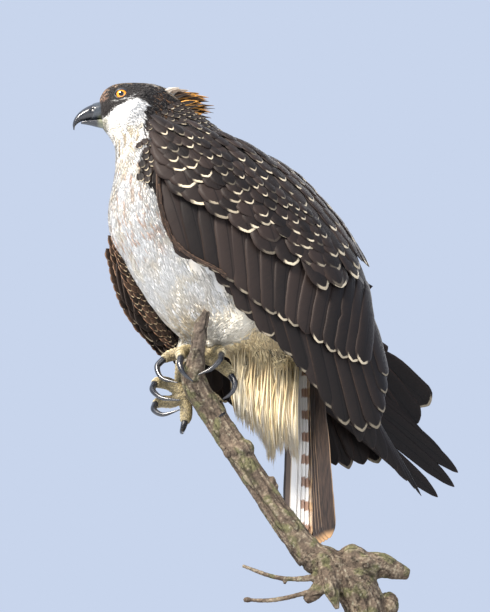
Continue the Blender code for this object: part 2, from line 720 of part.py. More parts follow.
# Rank of each tail feather in the stack, from the left edge to the right; rank 0 lies at the back
TAIL_RANKS = (6, 5, 4, 3, 2, 0, 1, 3, 4, 5, 6, 7)
TAIL_MIDDLE_RANK = 3.4
TAIL_STEP = 0.98
TAIL_WIDTH = 21.0
TAIL_ROOT_SPACING = 3.0
TAIL_TIP_SPACING = 5.4
TAIL_CORE_SIDES = 12
# How much higher the outer feathers end, and how far each bows back
TAIL_ROUNDING = 0.55
TAIL_BOW = -1.2

# The buff plume's core: height, front x, back x, half width
PLUME = (
    (386.0, -10.0, 64.0, 32.0),
    (362.0, -12.0, 64.0, 33.0),
    (337.0, -4.0, 62.0, 28.0),
    (312.0, 8.0, 58.0, 19.0),
    (292.0, 22.0, 52.0, 9.0),
)
# Tiers of plume locks: root height, share of the core's reach there, tip height, the tips' front x and half
# width, count, turn of the first
PLUME_TIERS = (
    (376.0, 0.86, 318.0, (-15.0, 34.0), 4, 0.0),
    (352.0, 0.82, 286.0, (-6.0, 30.0), 3, 24.0),
    (330.0, 0.78, 262.0, (11.0, 22.0), 3, 0.0),
    (310.0, 0.7, 238.0, (30.0, 10.0), 2, 0.0),
)
PLUME_MIDDLE = 34.0
PLUME_SIDES = 16
PLUME_FAN = 200.0
PLUME_WANDER = 5.0
PLUME_BOW = 2.5
PLUME_LOCK_WIDTH = 23.4


def make_tail():
    across = np.array((-math.sin(TAIL_TWIST), math.cos(TAIL_TWIST), 0.0))
    back = np.array((math.cos(TAIL_TWIST), math.sin(TAIL_TWIST), 0.0))
    rings = []
    for (x, z), width, depth in TAIL_CORE:
        centre = np.array((x, 0.0, z))
        turns = [2.0 * math.pi * i / TAIL_CORE_SIDES for i in range(TAIL_CORE_SIDES)]
        rings.append([centre + across * width * math.cos(t) + back * depth * math.sin(t) for t in turns])
    tail = loft("tail", rings)
    vanes = []
    for k, rank in enumerate(TAIL_RANKS):
        place = k - 0.5 * (len(TAIL_RANKS) - 1)
        depth = back * TAIL_STEP * (TAIL_MIDDLE_RANK - rank)
        root = np.array((TAIL_ROOT[0], 0.0, TAIL_ROOT[1])) + across * place * TAIL_ROOT_SPACING + depth
        end = TAIL_END[1] + TAIL_ROUNDING * place ** 2
        tip = np.array((TAIL_END[0], 0.0, end)) + across * place * TAIL_TIP_SPACING + depth
        vanes.append(free_vane("vane", root, tip, across, TAIL_WIDTH, "middle", TAIL_BOW * back))
    return tail, vanes


def make_plume():
    rings = []
    for z, front, back, width in PLUME:
        middle, reach = 0.5 * (front + back), 0.5 * (back - front)
        turns = [2.0 * math.pi * i / PLUME_SIDES for i in range(PLUME_SIDES)]
        rings.append([(middle + reach * math.cos(t), width * math.sin(t), z) for t in turns])
    plume = loft("undertail_coverts", rings)
    table = np.array(PLUME[::-1])
    locks = []
    for root_z, share, tip_z, (tip_front, tip_width), count, turn in PLUME_TIERS:
        front, back, width = (np.interp(root_z, table[:, 0], table[:, c]) for c in (1, 2, 3))
        for k in range(count):
            angle = math.radians(turn + PLUME_FAN * (k / (count - 1) - 0.5))
            facing = np.array((-math.cos(angle), math.sin(angle), 0.0))
            middle = 0.5 * (front + back)
            reach = share * 0.5 * (back - front)
            root = np.array((middle + facing[0] * reach, facing[1] * share * width, root_z))
            tip = np.array((PLUME_MIDDLE + facing[0] * (PLUME_MIDDLE - tip_front), facing[1] * tip_width,
                            tip_z + RANDOM.uniform(-PLUME_WANDER, PLUME_WANDER)))
            across = np.cross(facing, (0.0, 0.0, 1.0))
            bow = PLUME_BOW * facing
            locks.append(free_vane("lock", root, tip, across, PLUME_LOCK_WIDTH, "middle", bow))
    return boolean(plume, locks, "UNION")


# Legs, feet and claws; foot places are in the stand's own frame, as the branch is

THIGHS = {
    "left": (((-5.0, -38.0, 412.0), (-25.0, -34.0, 392.0), (-40.0, -25.0, 376.0), (-46.0, -19.0, 369.0)),
             (32.0, 27.0, 16.0, 9.0)),
    "right": (((-10.0, 36.0, 408.0), (-35.0, 30.0, 384.0), (-52.0, 23.0, 366.0), (-59.0, 19.0, 356.0)),
              (32.0, 26.0, 15.0, 9.0)),
}
TARSI = {
    "left": (((-46.5, -18.5, 368.5), (-47.5, -17.0, 360.0)), (7.5, 8.5)),
    "right": (((-59.5, 18.6, 355.4), (-60.5, 17.5, 340.0), (-60.0, 17.0, 325.0)), (6.5, 6.5, 8.0)),
}
# Each toe: its points, from the foot's pad to the claw; then the claw's points
TOES = {
    "left": (
        (((-89.0, -31.0, 359.0), (-103.0, -36.0, 361.0), (-109.0, -47.0, 356.0), (-109.0, -55.0, 349.5)),
         ((-109.0, -55.4, 349.2), (-109.5, -60.5, 340.0), (-105.0, -63.5, 330.0), (-96.0, -63.0, 322.5))),
        (((-90.0, -30.0, 358.0), (-106.0, -26.0, 362.0), (-120.0, -26.0, 359.0), (-128.0, -31.0, 353.5)),
         ((-128.4, -31.3, 353.2), (-134.5, -35.0, 344.0), (-129.0, -41.0, 331.0), (-112.0, -49.0, 324.0))),
        (((-87.0, -31.0, 359.0), (-76.0, -36.0, 360.5), (-70.0, -46.0, 358.5), (-67.5, -54.0, 353.0)),
         ((-67.4, -54.4, 352.6), (-69.0, -61.0, 344.5), (-78.0, -64.5, 335.0), (-91.0, -64.0, 329.0))),
        (((-86.0, -29.0, 357.0), (-72.0, -28.0, 350.0), (-62.0, -35.0, 341.0), (-57.5, -41.0, 334.0)),
         ((-57.3, -41.4, 333.6), (-53.5, -45.0, 324.0), (-57.0, -46.0, 314.0), (-66.0, -44.5, 308.0))),
    ),
    "right": (
        (((-110.0, -13.0, 322.0), (-122.0, -15.0, 330.0), (-132.0, -21.0, 331.0), (-137.0, -28.0, 328.0)),
         ((-137.3, -28.4, 327.8), (-138.5, -36.0, 319.0), (-128.0, -45.0, 309.0), (-109.0, -51.0, 305.5))),
        (((-109.0, -12.0, 318.0), (-120.0, -13.0, 312.0), (-130.0, -18.0, 311.0), (-136.0, -25.0, 307.0)),
         ((-136.3, -25.4, 306.8), (-137.0, -33.0, 299.0), (-127.0, -41.0, 292.5), (-110.0, -46.0, 296.5))),
        (((-107.0, -11.0, 318.0), (-105.0, -9.0, 306.0), (-105.0, -11.0, 296.0), (-106.0, -14.0, 290.0)),
         ((-106.1, -14.3, 289.7), (-107.5, -18.0, 283.0), (-108.5, -24.0, 277.5), (-107.0, -31.0, 275.0))),
        (((-103.0, -12.0, 320.0), (-90.0, -9.0, 321.0), (-78.0, -12.0, 316.0), (-70.0, -19.0, 309.0)),
         ((-69.7, -19.4, 308.7), (-66.0, -27.0, 300.0), (-65.0, -36.0, 295.0), (-70.0, -44.0, 290.0))),
    ),
}
TOE_RADII = (7.0, 6.6, 6.2, 4.6)
CLAW_RADII = (3.6, 3.1, 2.2, 0.6)
SHANK_SIDES = 10
TOE_SIDES = 7
CLAW_SIDES = 6
PAD_RADII = (9.5, 7.5, 8.0)


def smooth_tube(name, points, radii, steps, sides):
    fractions = np.linspace(0.0, 1.0, steps)
    centres = [smooth_line(points, f) for f in fractions]
    sizes = [float(smooth_line(np.array(radii).reshape(-1, 1), f)[0]) for f in fractions]
    return tube(name, centres, [max(size, 0.4) for size in sizes], sides)


def bird_place(point):
    """A point of the bird's frame in the stand's frame."""
    x, y, z = point
    c, s = math.cos(BIRD_YAW), math.sin(BIRD_YAW)
    return np.array((BIRD_PLACE[0] + c * x - s * y, BIRD_PLACE[1] + s * x + c * y, BIRD_PLACE[2] + z))


def make_foot(name, grow=0.0):
    """A foot in the stand's frame; grow makes the larger copy that its neighbours are cut with."""
    points, radii = TARSI[name]
    foot = tube(f"foot_{name}", [bird_place(p) for p in points], [r + grow for r in radii], SHANK_SIDES)
    toe_radii = [r + grow for r in TOE_RADII]
    toes = [smooth_tube("toe", points, toe_radii, 5, TOE_SIDES) for points, _ in TOES[name]]
    pad_centre = np.mean([points[0] for points, _ in TOES[name]], axis=0)
    toes.append(ball("pad", pad_centre, [r + grow for r in PAD_RADII], 9, 6))
    return boolean(foot, toes, "UNION")


def make_claws(name):
    return [smooth_tube(f"claw_{name}_{k + 1}", points, CLAW_RADII, 6, CLAW_SIDES)
            for k, (_, points) in enumerate(TOES[name])]


# Branch: points and radii of its lengths, in the stand's frame

BRANCH_MAIN = (
    ((-85.2, -72.0, 396.0), 6.6), ((-89.3, -66.0, 371.0), 7.4), ((-93.0, -56.0, 348.0), 9.2),
    ((-96.0, -40.0, 327.0), 13.0), ((-78.0, -31.0, 298.0), 12.8), ((-50.4, -28.0, 256.0), 13.2),
    ((-26.0, -26.0, 218.5), 12.6), ((0.4, -24.0, 180.0), 13.4), ((24.0, -22.0, 150.0), 15.5),
)
TRUNK = (((22.0, -22.0, 152.0), 15.0), ((45.0, -21.0, 140.0), 18.0), ((64.0, -18.0, 126.0), 21.0),
         ((75.0, -14.0, 108.0), 21.0), ((79.0, -12.0, 90.0), 21.0))
TRUNK_FOOT = (79.0, -12.0, 90.0)
FLAP = (((37.0, -34.0, 138.0), 9.0), ((42.0, -37.0, 119.0), 8.0), ((48.0, -37.0, 98.0), 2.2))
SNAG = (((38.0, -28.0, 126.0), 9.0), ((26.0, -30.0, 114.0), 7.0), ((17.0, -31.0, 106.0), 4.0))
SAW_CUT = 1.5
SAW_BOX = (80.0, 80.0, 60.0)
SIDE_STUB = (((66.0, -20.0, 140.0), 15.0), ((92.0, -21.0, 142.0), 13.0), ((108.0, -21.0, 137.0), 9.5),
             ((122.0, -20.0, 133.0), 5.5))
TWIGS = (
    ((32.0, -30.0, 130.0), (8.0, -33.0, 127.5), (-16.0, -34.0, 130.0), (-46.0, -35.0, 140.5)),
    ((40.0, -30.0, 124.0), (20.0, -33.0, 115.0), (-14.0, -35.0, 107.0), (-44.0, -36.0, 107.0)),
)
TWIG_RADII = (4.5, 2.6, 2.4, 1.8)
KNOTS = (
    ((-50.0, -29.0, 258.0), (17.0, 16.0, 13.0)),
    ((36.0, -24.0, 147.0), (18.0, 17.0, 13.0)),
    ((66.0, -22.0, 149.0), (17.0, 17.0, 15.0)),
    ((86.0, -22.0, 143.0), (14.0, 15.0, 13.0)),
    ((102.0, -15.0, 103.0), (10.0, 10.0, 14.0)),
)


def run(name, stations, steps, sides):
    points = [place for place, _ in stations]
    radii = [radius for _, radius in stations]
    return smooth_tube(name, points, radii, steps, sides)


def make_branch():
    branch = run("perch_branch", BRANCH_MAIN, 14, 10)
    trunk = run("trunk", TRUNK, 5, 10)
    limbs = [trunk, run("stub", SIDE_STUB, 4, 8), run("flap", FLAP, 4, 6), run("snag", SNAG, 3, 6)]
    limbs += [smooth_tube("twig", points, TWIG_RADII, 5, 5) for points in TWIGS]
    limbs += [ball("knot", place, radii, 9, 6) for place, radii in KNOTS]
    boolean(branch, limbs, "UNION")
    x, y, foot = TRUNK_FOOT
    saw = box("saw_cut", (x, y, foot + SAW_CUT - 0.5 * SAW_BOX[2]), SAW_BOX, 0.0)
    return boolean(branch, [saw], "DIFFERENCE")


# Stand

BASE_SIZE = (310.0, 220.0, 18.0)
BASE_BEVEL = 2.5
BASE_CENTRE = (15.0, 0.0)
ROD_RADIUS = 6.0
COLLAR_RADIUS = 14.0
COLLAR_HEIGHT = 6.0
COLLAR_BEVEL = 1.5
ROD_SIDES = 18


def box(name, centre, size, bevel):
    bpy.ops.mesh.primitive_cube_add(size=METRES)
    obj = bpy.context.active_object
    obj.name = name
    obj.data.transform(Matrix.Diagonal((*size, 1.0)))
    obj.data.transform(Matrix.Translation([c * METRES for c in centre]))
    if bevel > 0:
        rounding = obj.modifiers.new("edges", "BEVEL")
        rounding.width = bevel * METRES
        rounding.segments = 2
        apply_modifiers(obj)
    return obj


def make_stand():
    height = BASE_SIZE[2]
    base = box("stand_base", (*BASE_CENTRE, 0.5 * height), BASE_SIZE, BASE_BEVEL)
    x, y, top = TRUNK_FOOT
    low = height + GAP
    profile = ((COLLAR_RADIUS, low), (COLLAR_RADIUS, low + COLLAR_HEIGHT - COLLAR_BEVEL),
               (COLLAR_RADIUS - COLLAR_BEVEL, low + COLLAR_HEIGHT), (ROD_RADIUS, low + COLLAR_HEIGHT),
               (ROD_RADIUS, top + SAW_CUT - GAP))
    rings = []
    for radius, z in profile:
        turns = [2.0 * math.pi * i / ROD_SIDES for i in range(ROD_SIDES)]
        rings.append([(x + radius * math.cos(t), y + radius * math.sin(t), z) for t in turns])
    return base, loft("stand_rod", rings)


# Assembly

def main():
    clear_scene()
    model = new_collection("osprey")
    materials = {name: finish(name) for name in FINISHES}
    placer = bpy.data.objects.new("bird_placer", None)
    placer.location = [c * METRES for c in BIRD_PLACE]
    placer.rotation_euler = (0.0, 0.0, BIRD_YAW)
    model.objects.link(placer)
    stand_to_bird = (Matrix.Translation(placer.location) @ Matrix.Rotation(BIRD_YAW, 4, "Z")).inverted()

    def keep(obj, material, on_bird=True):
        for owner in list(obj.users_collection):
            owner.objects.unlink(obj)
        model.objects.link(obj)
        obj.data.materials.clear()
        obj.data.materials.append(materials[material])
        obj.data.shade_smooth()
        obj.data.set_sharp_from_angle(angle=math.radians(40.0))
        if on_bird:
            obj.parent = placer

    bills = make_bills()
    eyes = [ball(f"eye_{name}", on_head(EYE_CENTRE, side), (EYE_RADIUS,) * 3, 12, 7) for name, side in SIDES]
    head = make_head(bills, eyes)
    neck = boolean(body_length("neck"), crest_feathers(NAPE_CREST), "UNION")
    torso = body_length("torso")
    tail, tail_vanes = make_tail()
    carve(tail, [torso])
    plume = carve(make_plume(), [torso, tail])
    boolean(tail, tail_vanes, "UNION")
    branch = make_branch()
    for name, _ in SIDES:
        foot = make_foot(name)
        claws = [carve(claw, [foot]) for claw in make_claws(name)]
        carve(branch, [foot] + claws)
        thigh = smooth_tube(f"thigh_{name}", *THIGHS[name], 6, 13)
        carve(thigh, [torso])
        carve(plume, [thigh])
        for obj in (thigh, torso):
            cutter = make_foot(name, GAP)
            cutter.data.transform(stand_to_bird)
            boolean(obj, [cutter], "DIFFERENCE")
        wing, feathers = [], []
        lengths = ((make_coverts, [torso, neck]), (make_secondaries, []), (make_primaries, [torso]))
        for make, neighbours in lengths:
            core, vanes = make(name)
            wing.append(carve(core, neighbours + wing))
            feathers.append(vanes)
        for core, vanes in zip(wing, feathers):
            boolean(core, vanes, "UNION")
        keep(foot, "scaly_skin", False)
        for claw in claws:
            keep(claw, "horn", False)
        keep(thigh, "white_feather")
        for obj, material in zip(wing, ("dark_feather", "dark_feather", "flight_feather")):
            keep(obj, material)
    for obj in bills:
        keep(obj, "horn")
    for obj in eyes:
        keep(obj, "eye")
    for obj in (head, neck, torso):
        keep(obj, "white_feather")
    keep(tail, "flight_feather")
    keep(plume, "buff_feather")
    keep(branch, "bark", False)
    base, rod = make_stand()
    keep(base, "stand_wood", False)
    keep(rod, "stand_steel", False)


main()
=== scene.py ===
# Looks of the life-size juvenile osprey: its feathers, skin, eyes, bill, feet, branch and stand.
# Sizes are in millimetres in the bird's own frame (-X forward, -Y left, +Z up) until a mesh is made.
import math
from collections import namedtuple

import bpy
import numpy as np
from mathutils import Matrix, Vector, noise
from mathutils.bvhtree import BVHTree
from mathutils.kdtree import KDTree


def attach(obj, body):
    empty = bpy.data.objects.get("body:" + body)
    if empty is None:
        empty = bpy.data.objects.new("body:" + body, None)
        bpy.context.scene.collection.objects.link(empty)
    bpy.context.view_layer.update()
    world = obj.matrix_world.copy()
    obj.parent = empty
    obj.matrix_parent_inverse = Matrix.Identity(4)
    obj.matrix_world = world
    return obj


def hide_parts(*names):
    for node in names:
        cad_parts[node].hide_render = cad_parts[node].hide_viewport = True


METRES = 0.001
RANDOM = np.random.default_rng(7)
SIDES = {"left": -1.0, "right": 1.0}
BIRD_PLACE = np.array((-48.6, 0.0, 0.0))
BIRD_YAW = math.radians(20.0)
HEAD_TURN = math.radians(-12.0)
NECK_AXIS_X = -100.0

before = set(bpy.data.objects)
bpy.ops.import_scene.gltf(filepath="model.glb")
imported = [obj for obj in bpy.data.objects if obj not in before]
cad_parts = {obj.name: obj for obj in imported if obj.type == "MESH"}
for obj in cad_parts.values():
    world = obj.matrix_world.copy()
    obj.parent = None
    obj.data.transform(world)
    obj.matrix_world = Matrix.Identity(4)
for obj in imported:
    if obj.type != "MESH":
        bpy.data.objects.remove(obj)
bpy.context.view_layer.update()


# Shapes shared with the solids

# Body sections from the face to the rump: front and back point (x, z), half width, share of the head's turn
BODY_SECTIONS = (
    ((-157.0, 611.0), (-160.5, 643.5), 11.5, 1.0),
    ((-153.5, 607.0), (-155.0, 653.5), 18.5, 1.0),
    ((-150.0, 603.0), (-142.5, 660.3), 25.0, 1.0),
    ((-147.0, 598.0), (-122.0, 662.5), 30.5, 1.0),
    ((-144.0, 592.5), (-100.0, 661.5), 33.5, 1.0),
    ((-142.0, 585.0), (-80.0, 654.0), 35.0, 1.0),
    ((-141.0, 574.0), (-66.0, 640.0), 38.0, 0.75),
    ((-141.0, 560.0), (-50.0, 629.0), 45.0, 0.35),
    ((-143.0, 540.0), (-30.0, 615.0), 53.0, 0.1),
    ((-146.0, 515.0), (-6.0, 595.5), 63.0, 0.0),
    ((-142.0, 490.0), (28.0, 575.5), 70.0, 0.0),
    ((-128.0, 465.0), (63.0, 545.5), 71.0, 0.0),
    ((-114.0, 440.0), (94.0, 511.0), 71.0, 0.0),
    ((-98.0, 415.0), (117.5, 473.5), 70.0, 0.0),
    ((-81.0, 396.0), (127.0, 441.0), 66.0, 0.0),
    ((-58.0, 381.0), (128.0, 416.0), 59.0, 0.0),
    ((-30.0, 371.0), (124.0, 398.0), 51.0, 0.0),
    ((0.0, 363.0), (116.0, 384.0), 43.0, 0.0),
    ((30.0, 357.0), (107.0, 373.0), 35.0, 0.0),
)
BODY_ROUNDNESS = 2.15
LAST_SECTION = len(BODY_SECTIONS) - 1


def unit(vectors):
    vectors = np.asarray(vectors, dtype=float)
    return vectors / np.maximum(np.linalg.norm(vectors, axis=-1, keepdims=True), 1e-9)


def smooth_line(points, fractions):
    """Points at fractions of the way along a smooth curve through the points (Catmull-Rom)."""
    points = np.asarray(points, dtype=float)
    last = len(points) - 1
    place = np.clip(np.atleast_1d(fractions), 0.0, 1.0) * last
    k = np.minimum(place.astype(int), last - 1)
    t = (place - k)[:, None]
    padded = np.vstack((2.0 * points[0] - points[1], points, 2.0 * points[last] - points[last - 1]))
    before, start, end, after = padded[k], padded[k + 1], padded[k + 2], padded[k + 3]
    square = 2.0 * before - 5.0 * start + 4.0 * end - after
    cube = 3.0 * start - before - 3.0 * end + after
    return 0.5 * (2.0 * start + (end - before) * t + square * t ** 2 + cube * t ** 3)


def smooth_step(value, start, end):
    t = np.clip((np.asarray(value, dtype=float) - start) / (end - start), 0.0, 1.0)
    return t * t * (3.0 - 2.0 * t)


def turn_head(points, share=1.0):
    """Turns points about the neck's upright axis by a share of the head's turn; a share of -1 undoes it."""
    points = np.asarray(points, dtype=float)
    angle = HEAD_TURN * np.asarray(share, dtype=float)
    dx, y = points[..., 0] - NECK_AXIS_X, points[..., 1]
    return np.stack((NECK_AXIS_X + dx * np.cos(angle) - y * np.sin(angle),
                     dx * np.sin(angle) + y * np.cos(angle), points[..., 2] + 0.0 * angle), axis=-1)


def bird_to_stand(points):
    points = np.asarray(points, dtype=float)
    c, s = math.cos(BIRD_YAW), math.sin(BIRD_YAW)
    x, y, z = points[..., 0], points[..., 1], points[..., 2]
    return np.stack((c * x - s * y, s * x + c * y, z), axis=-1) + BIRD_PLACE


def stand_to_bird(points):
    points = np.asarray(points, dtype=float) - BIRD_PLACE
    c, s = math.cos(BIRD_YAW), math.sin(BIRD_YAW)
    x, y, z = points[..., 0], points[..., 1], points[..., 2]
    return np.stack((c * x + s * y, -s * x + c * y, z), axis=-1)


def body_surface(places, angles, depth=0.0):
    """Points of the body at places along its stations (0 to 18) and angles round it, sunk by a depth."""
    table = np.array([(*front, *back, width, turn) for front, back, width, turn in BODY_SECTIONS])
    fx, fz, bx, bz, width, turn = smooth_line(table, np.asarray(places) / LAST_SECTION).T[:, :, None]
    c, s = np.cos(angles)[None, :], np.sin(angles)[None, :]
    half = np.hypot(0.5 * (fx - bx), 0.5 * (fz - bz))
    shrink_long, shrink_wide = 1.0 - depth / half, 1.0 - depth / width
    reach = np.sign(c) * np.abs(c) ** (2.0 / BODY_ROUNDNESS) * shrink_long
    side = np.sign(s) * np.abs(s) ** (2.0 / BODY_ROUNDNESS) * width * shrink_wide
    points = np.stack((0.5 * (fx + bx) + 0.5 * (fx - bx) * reach, side,
                       0.5 * (fz + bz) + 0.5 * (fz - bz) * reach), axis=-1)
    return turn_head(points, turn * np.ones_like(side))


# Meshes

LEAST_RADII = 0.3


def build_mesh(name, points, faces, on_bird=True):
    """An object from points in millimetres and a list of arrays of faces (each array one polygon size)."""
    points = np.asarray(points, dtype=float).reshape(-1, 3)
    placed = (bird_to_stand(points) if on_bird else points) * METRES
    mesh = bpy.data.meshes.new(name)
    mesh.vertices.add(len(placed))
    mesh.vertices.foreach_set("co", placed.astype(np.float32).ravel())
    loops = np.concatenate([np.asarray(f).ravel() for f in faces])
    totals = np.concatenate([np.full(len(f), np.asarray(f).shape[1]) for f in faces])
    mesh.loops.add(len(loops))
    mesh.loops.foreach_set("vertex_index", loops.astype(np.int32))
    mesh.polygons.add(len(totals))
    starts = np.concatenate(([0], np.cumsum(totals)[:-1]))
    mesh.polygons.foreach_set("loop_start", starts.astype(np.int32))
    mesh.polygons.foreach_set("loop_total", totals.astype(np.int32))
    mesh.update(calc_edges=True)
    mesh.polygons.foreach_set("use_smooth", np.full(len(totals), True))
    obj = bpy.data.objects.new(name, mesh)
    bpy.context.scene.collection.objects.link(obj)
    return obj


def add_colour(obj, name, values):
    """A colour attribute from one RGB or RGBA value for each vertex."""
    values = np.asarray(values, dtype=np.float32).reshape(len(obj.data.vertices), -1)
    if values.shape[1] == 3:
        values = np.hstack((values, np.ones((len(values), 1), np.float32)))
    attribute = obj.data.color_attributes.new(name, "FLOAT_COLOR", "POINT")
    attribute.data.foreach_set("color", values.ravel())


def add_uv(obj, name, values):
    """A UV map from one pair of numbers for each face corner."""
    layer = obj.data.uv_layers.new(name=name)
    layer.data.foreach_set("uv", np.asarray(values, dtype=np.float32).ravel())


def tube_grid(points, radii, steps, sides):
    """Rings round a smooth line, as an array of steps by sides by 3."""
    fractions = np.linspace(0.0, 1.0, steps)
    centres = smooth_line(points, fractions)
    sizes = smooth_line(np.asarray(radii, dtype=float).reshape(-1, 1), fractions)[:, 0]
    along = unit(np.gradient(centres, axis=0))
    side = np.array((0.0, 1.0, 0.0))
    turns = np.linspace(0.0, 2.0 * math.pi, sides, endpoint=False)
    rings = []
    for centre, size, direction in zip(centres, np.maximum(sizes, LEAST_RADII), along):
        side = unit(side - direction * np.dot(side, direction))
        up = np.cross(direction, side)
        rings.append(centre + size * (np.cos(turns)[:, None] * side + np.sin(turns)[:, None] * up))
    return np.array(rings)


def ring_faces(steps, sides, base=0):
    """Quads of a closed tube and its two end caps as fans round added centre points."""
    k, i = np.meshgrid(np.arange(steps - 1), np.arange(sides), indexing="ij")
    here = base + k * sides + i
    there = base + k * sides + (i + 1) % sides
    quads = np.stack((here, there, there + sides, here + sides), axis=-1).reshape(-1, 4)
    first, last = base + steps * sides, base + steps * sides + 1
    ring = np.arange(sides)
    start = np.stack((base + (ring + 1) % sides, base + ring, np.full(sides, first)), axis=-1)
    top = base + (steps - 1) * sides
    end = np.stack((top + ring, top + (ring + 1) % sides, np.full(sides, last)), axis=-1)
    return quads, np.vstack((start, end))


def tubes_mesh(name, grids, on_bird=True):
    """Closed tubes from grids of rings, in one mesh."""
    points, quads, fans, base = [], [], [], 0
    for grid in grids:
        steps, sides = grid.shape[:2]
        centres = np.array((grid[0].mean(axis=0), grid[-1].mean(axis=0)))
        points.append(np.vstack((grid.reshape(-1, 3), centres)))
        q, f = ring_faces(steps, sides, base)
        quads.append(q)
        fans.append(f)
        base += len(points[-1])
    return build_mesh(name, np.vstack(points), [np.vstack(quads), np.vstack(fans)], on_bird)


def remesh(obj, voxel, rounds):
    """Fuses the closed pieces of a mesh into one even surface and smooths it."""
    fuse = obj.modifiers.new("fuse", "REMESH")
    fuse.mode = "VOXEL"
    fuse.voxel_size = voxel * METRES
    fuse.use_smooth_shade = True
    soften = obj.modifiers.new("soften", "SMOOTH")
    soften.factor = 0.5
    soften.iterations = rounds
    evaluated = obj.evaluated_get(bpy.context.evaluated_depsgraph_get())
    mesh = bpy.data.meshes.new_from_object(evaluated)
    obj.modifiers.clear()
    obj.data = mesh
    mesh.polygons.foreach_set("use_smooth", np.full(len(mesh.polygons), True))
    return obj


def vertex_places(obj):
    """The vertices of a mesh, in metres."""
    places = np.zeros(len(obj.data.vertices) * 3, np.float32)
    obj.data.vertices.foreach_get("co", places)
    return places.reshape(-1, 3).astype(float)


def vertex_normals(obj):
    normals = np.zeros(len(obj.data.vertices) * 3, np.float32)
    obj.data.vertex_normals.foreach_get("vector", normals)
    return normals.reshape(-1, 3).astype(float)


def set_places(obj, places):
    obj.data.vertices.foreach_set("co", np.asarray(places, dtype=np.float32).ravel())
    obj.data.update()


def finish_piece(obj, material, replaced=()):
    """Gives a piece its material, its ride and the solids that it stands for."""
    obj.data.materials.clear()
    obj.data.materials.append(material)
    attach(obj, "root")
    if replaced:
        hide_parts(*replaced)
    return obj


# Materials

class Look:
    """A material built node by node round its Principled shader."""

    def __init__(self, name, roughness, **settings):
        self.material = bpy.data.materials.new(name)
        self.material.use_nodes = True
        self.tree = self.material.node_tree
        self.shader = self.tree.nodes["Principled BSDF"]
        self.shader.inputs["Roughness"].default_value = roughness
        for socket, value in settings.items():
            self.shader.inputs[socket.replace("_", " ")].default_value = value

    def node(self, kind, inputs=(), **settings):
        node = self.tree.nodes.new(kind)
        for key, value in settings.items():
            setattr(node, key, value)
        for key, value in dict(inputs).items():
            self.put(node.inputs[key], value)
        return node

    def put(self, socket, value):
        if isinstance(value, bpy.types.NodeSocket):
            self.tree.links.new(value, socket)
        elif value is not None:
            socket.default_value = value

    def math(self, operation, *values):
        node = self.node("ShaderNodeMath", operation=operation)
        for socket, value in zip(node.inputs, values):
            self.put(socket, value)
        return node.outputs[0]

    def times(self, first, second):
        return self.math("MULTIPLY", first, second)

    def plus(self, first, second):
        return self.math("ADD", first, second)

    def ramp(self, value, start, end, low=0.0, high=1.0):
        """Smoothly from low to high as the value goes from start to end."""
        inputs = {"Value": value, "From Min": start, "From Max": end, "To Min": low, "To Max": high}
        return self.node("ShaderNodeMapRange", inputs, interpolation_type="SMOOTHSTEP").outputs["Result"]

    def mix(self, share, first, second, blend="MIX"):
        node = self.node("ShaderNodeMix", data_type="RGBA", blend_type=blend)
        for socket, value in ((node.inputs[0], share), (node.inputs[6], first), (node.inputs[7], second)):
            if isinstance(value, tuple) and len(value) == 3:
                value = (*value, 1.0)
            self.put(socket, value)
        return node.outputs[2]

    def noise(self, vector, scale, detail=3.0, roughness=0.6, distortion=0.0):
        inputs = {"Vector": vector, "Scale": scale, "Detail": detail, "Roughness": roughness,
                  "Distortion": distortion}
        return self.node("ShaderNodeTexNoise", inputs).outputs["Fac"]

    def place(self, scale=(1.0, 1.0, 1.0)):
        """Places in the object, stretched by a scale."""
        source = self.node("ShaderNodeTexCoord").outputs["Object"]
        return self.node("ShaderNodeMapping", {"Vector": source, "Scale": scale}).outputs["Vector"]

    def attribute(self, name):
        """A colour attribute of the mesh."""
        return self.node("ShaderNodeAttribute", attribute_name=name).outputs["Color"]

    def marks(self):
        """A large feather's marks: its crescent, edge and tone."""
        return self.node("ShaderNodeSeparateColor", {"Color": self.attribute("mark")}).outputs

    def uv(self, name):
        """Both numbers of a UV map."""
        place = self.node("ShaderNodeUVMap", uv_map=name).outputs["UV"]
        parts = self.node("ShaderNodeSeparateXYZ", {"Vector": place}).outputs
        return parts["X"], parts["Y"]

    def vector(self, x, y, z=None):
        return self.node("ShaderNodeCombineXYZ", {"X": x, "Y": y, "Z": z}).outputs["Vector"]

    def bump(self, height, strength, distance):
        node = self.node("ShaderNodeBump", {"Height": height, "Strength": strength, "Distance": distance})
        self.put(self.shader.inputs["Normal"], node.outputs["Normal"])

    def colour(self, value):
        self.put(self.shader.inputs["Base Color"], value)

    def rough(self, value):
        self.put(self.shader.inputs["Roughness"], value)


def plumage_look():
    """Small feathers and skin: colours come from the markings, with fine barbs over them."""
    look = Look("plumage", 0.8, Sheen_Weight=0.12, Sheen_Roughness=0.5, Specular_IOR_Level=0.25)
    fine = look.noise(look.place(), 900.0, 4.0)
    broad = look.noise(look.place(), 90.0, 2.0)
    shade = look.times(look.ramp(fine, 0.25, 0.75, 0.9, 1.05), look.ramp(broad, 0.3, 0.7, 0.95, 1.04))
    look.colour(look.mix(1.0, look.attribute("coat"), shade, "MULTIPLY"))
    look.bump(fine, 0.2, 0.0004)
    return look.material


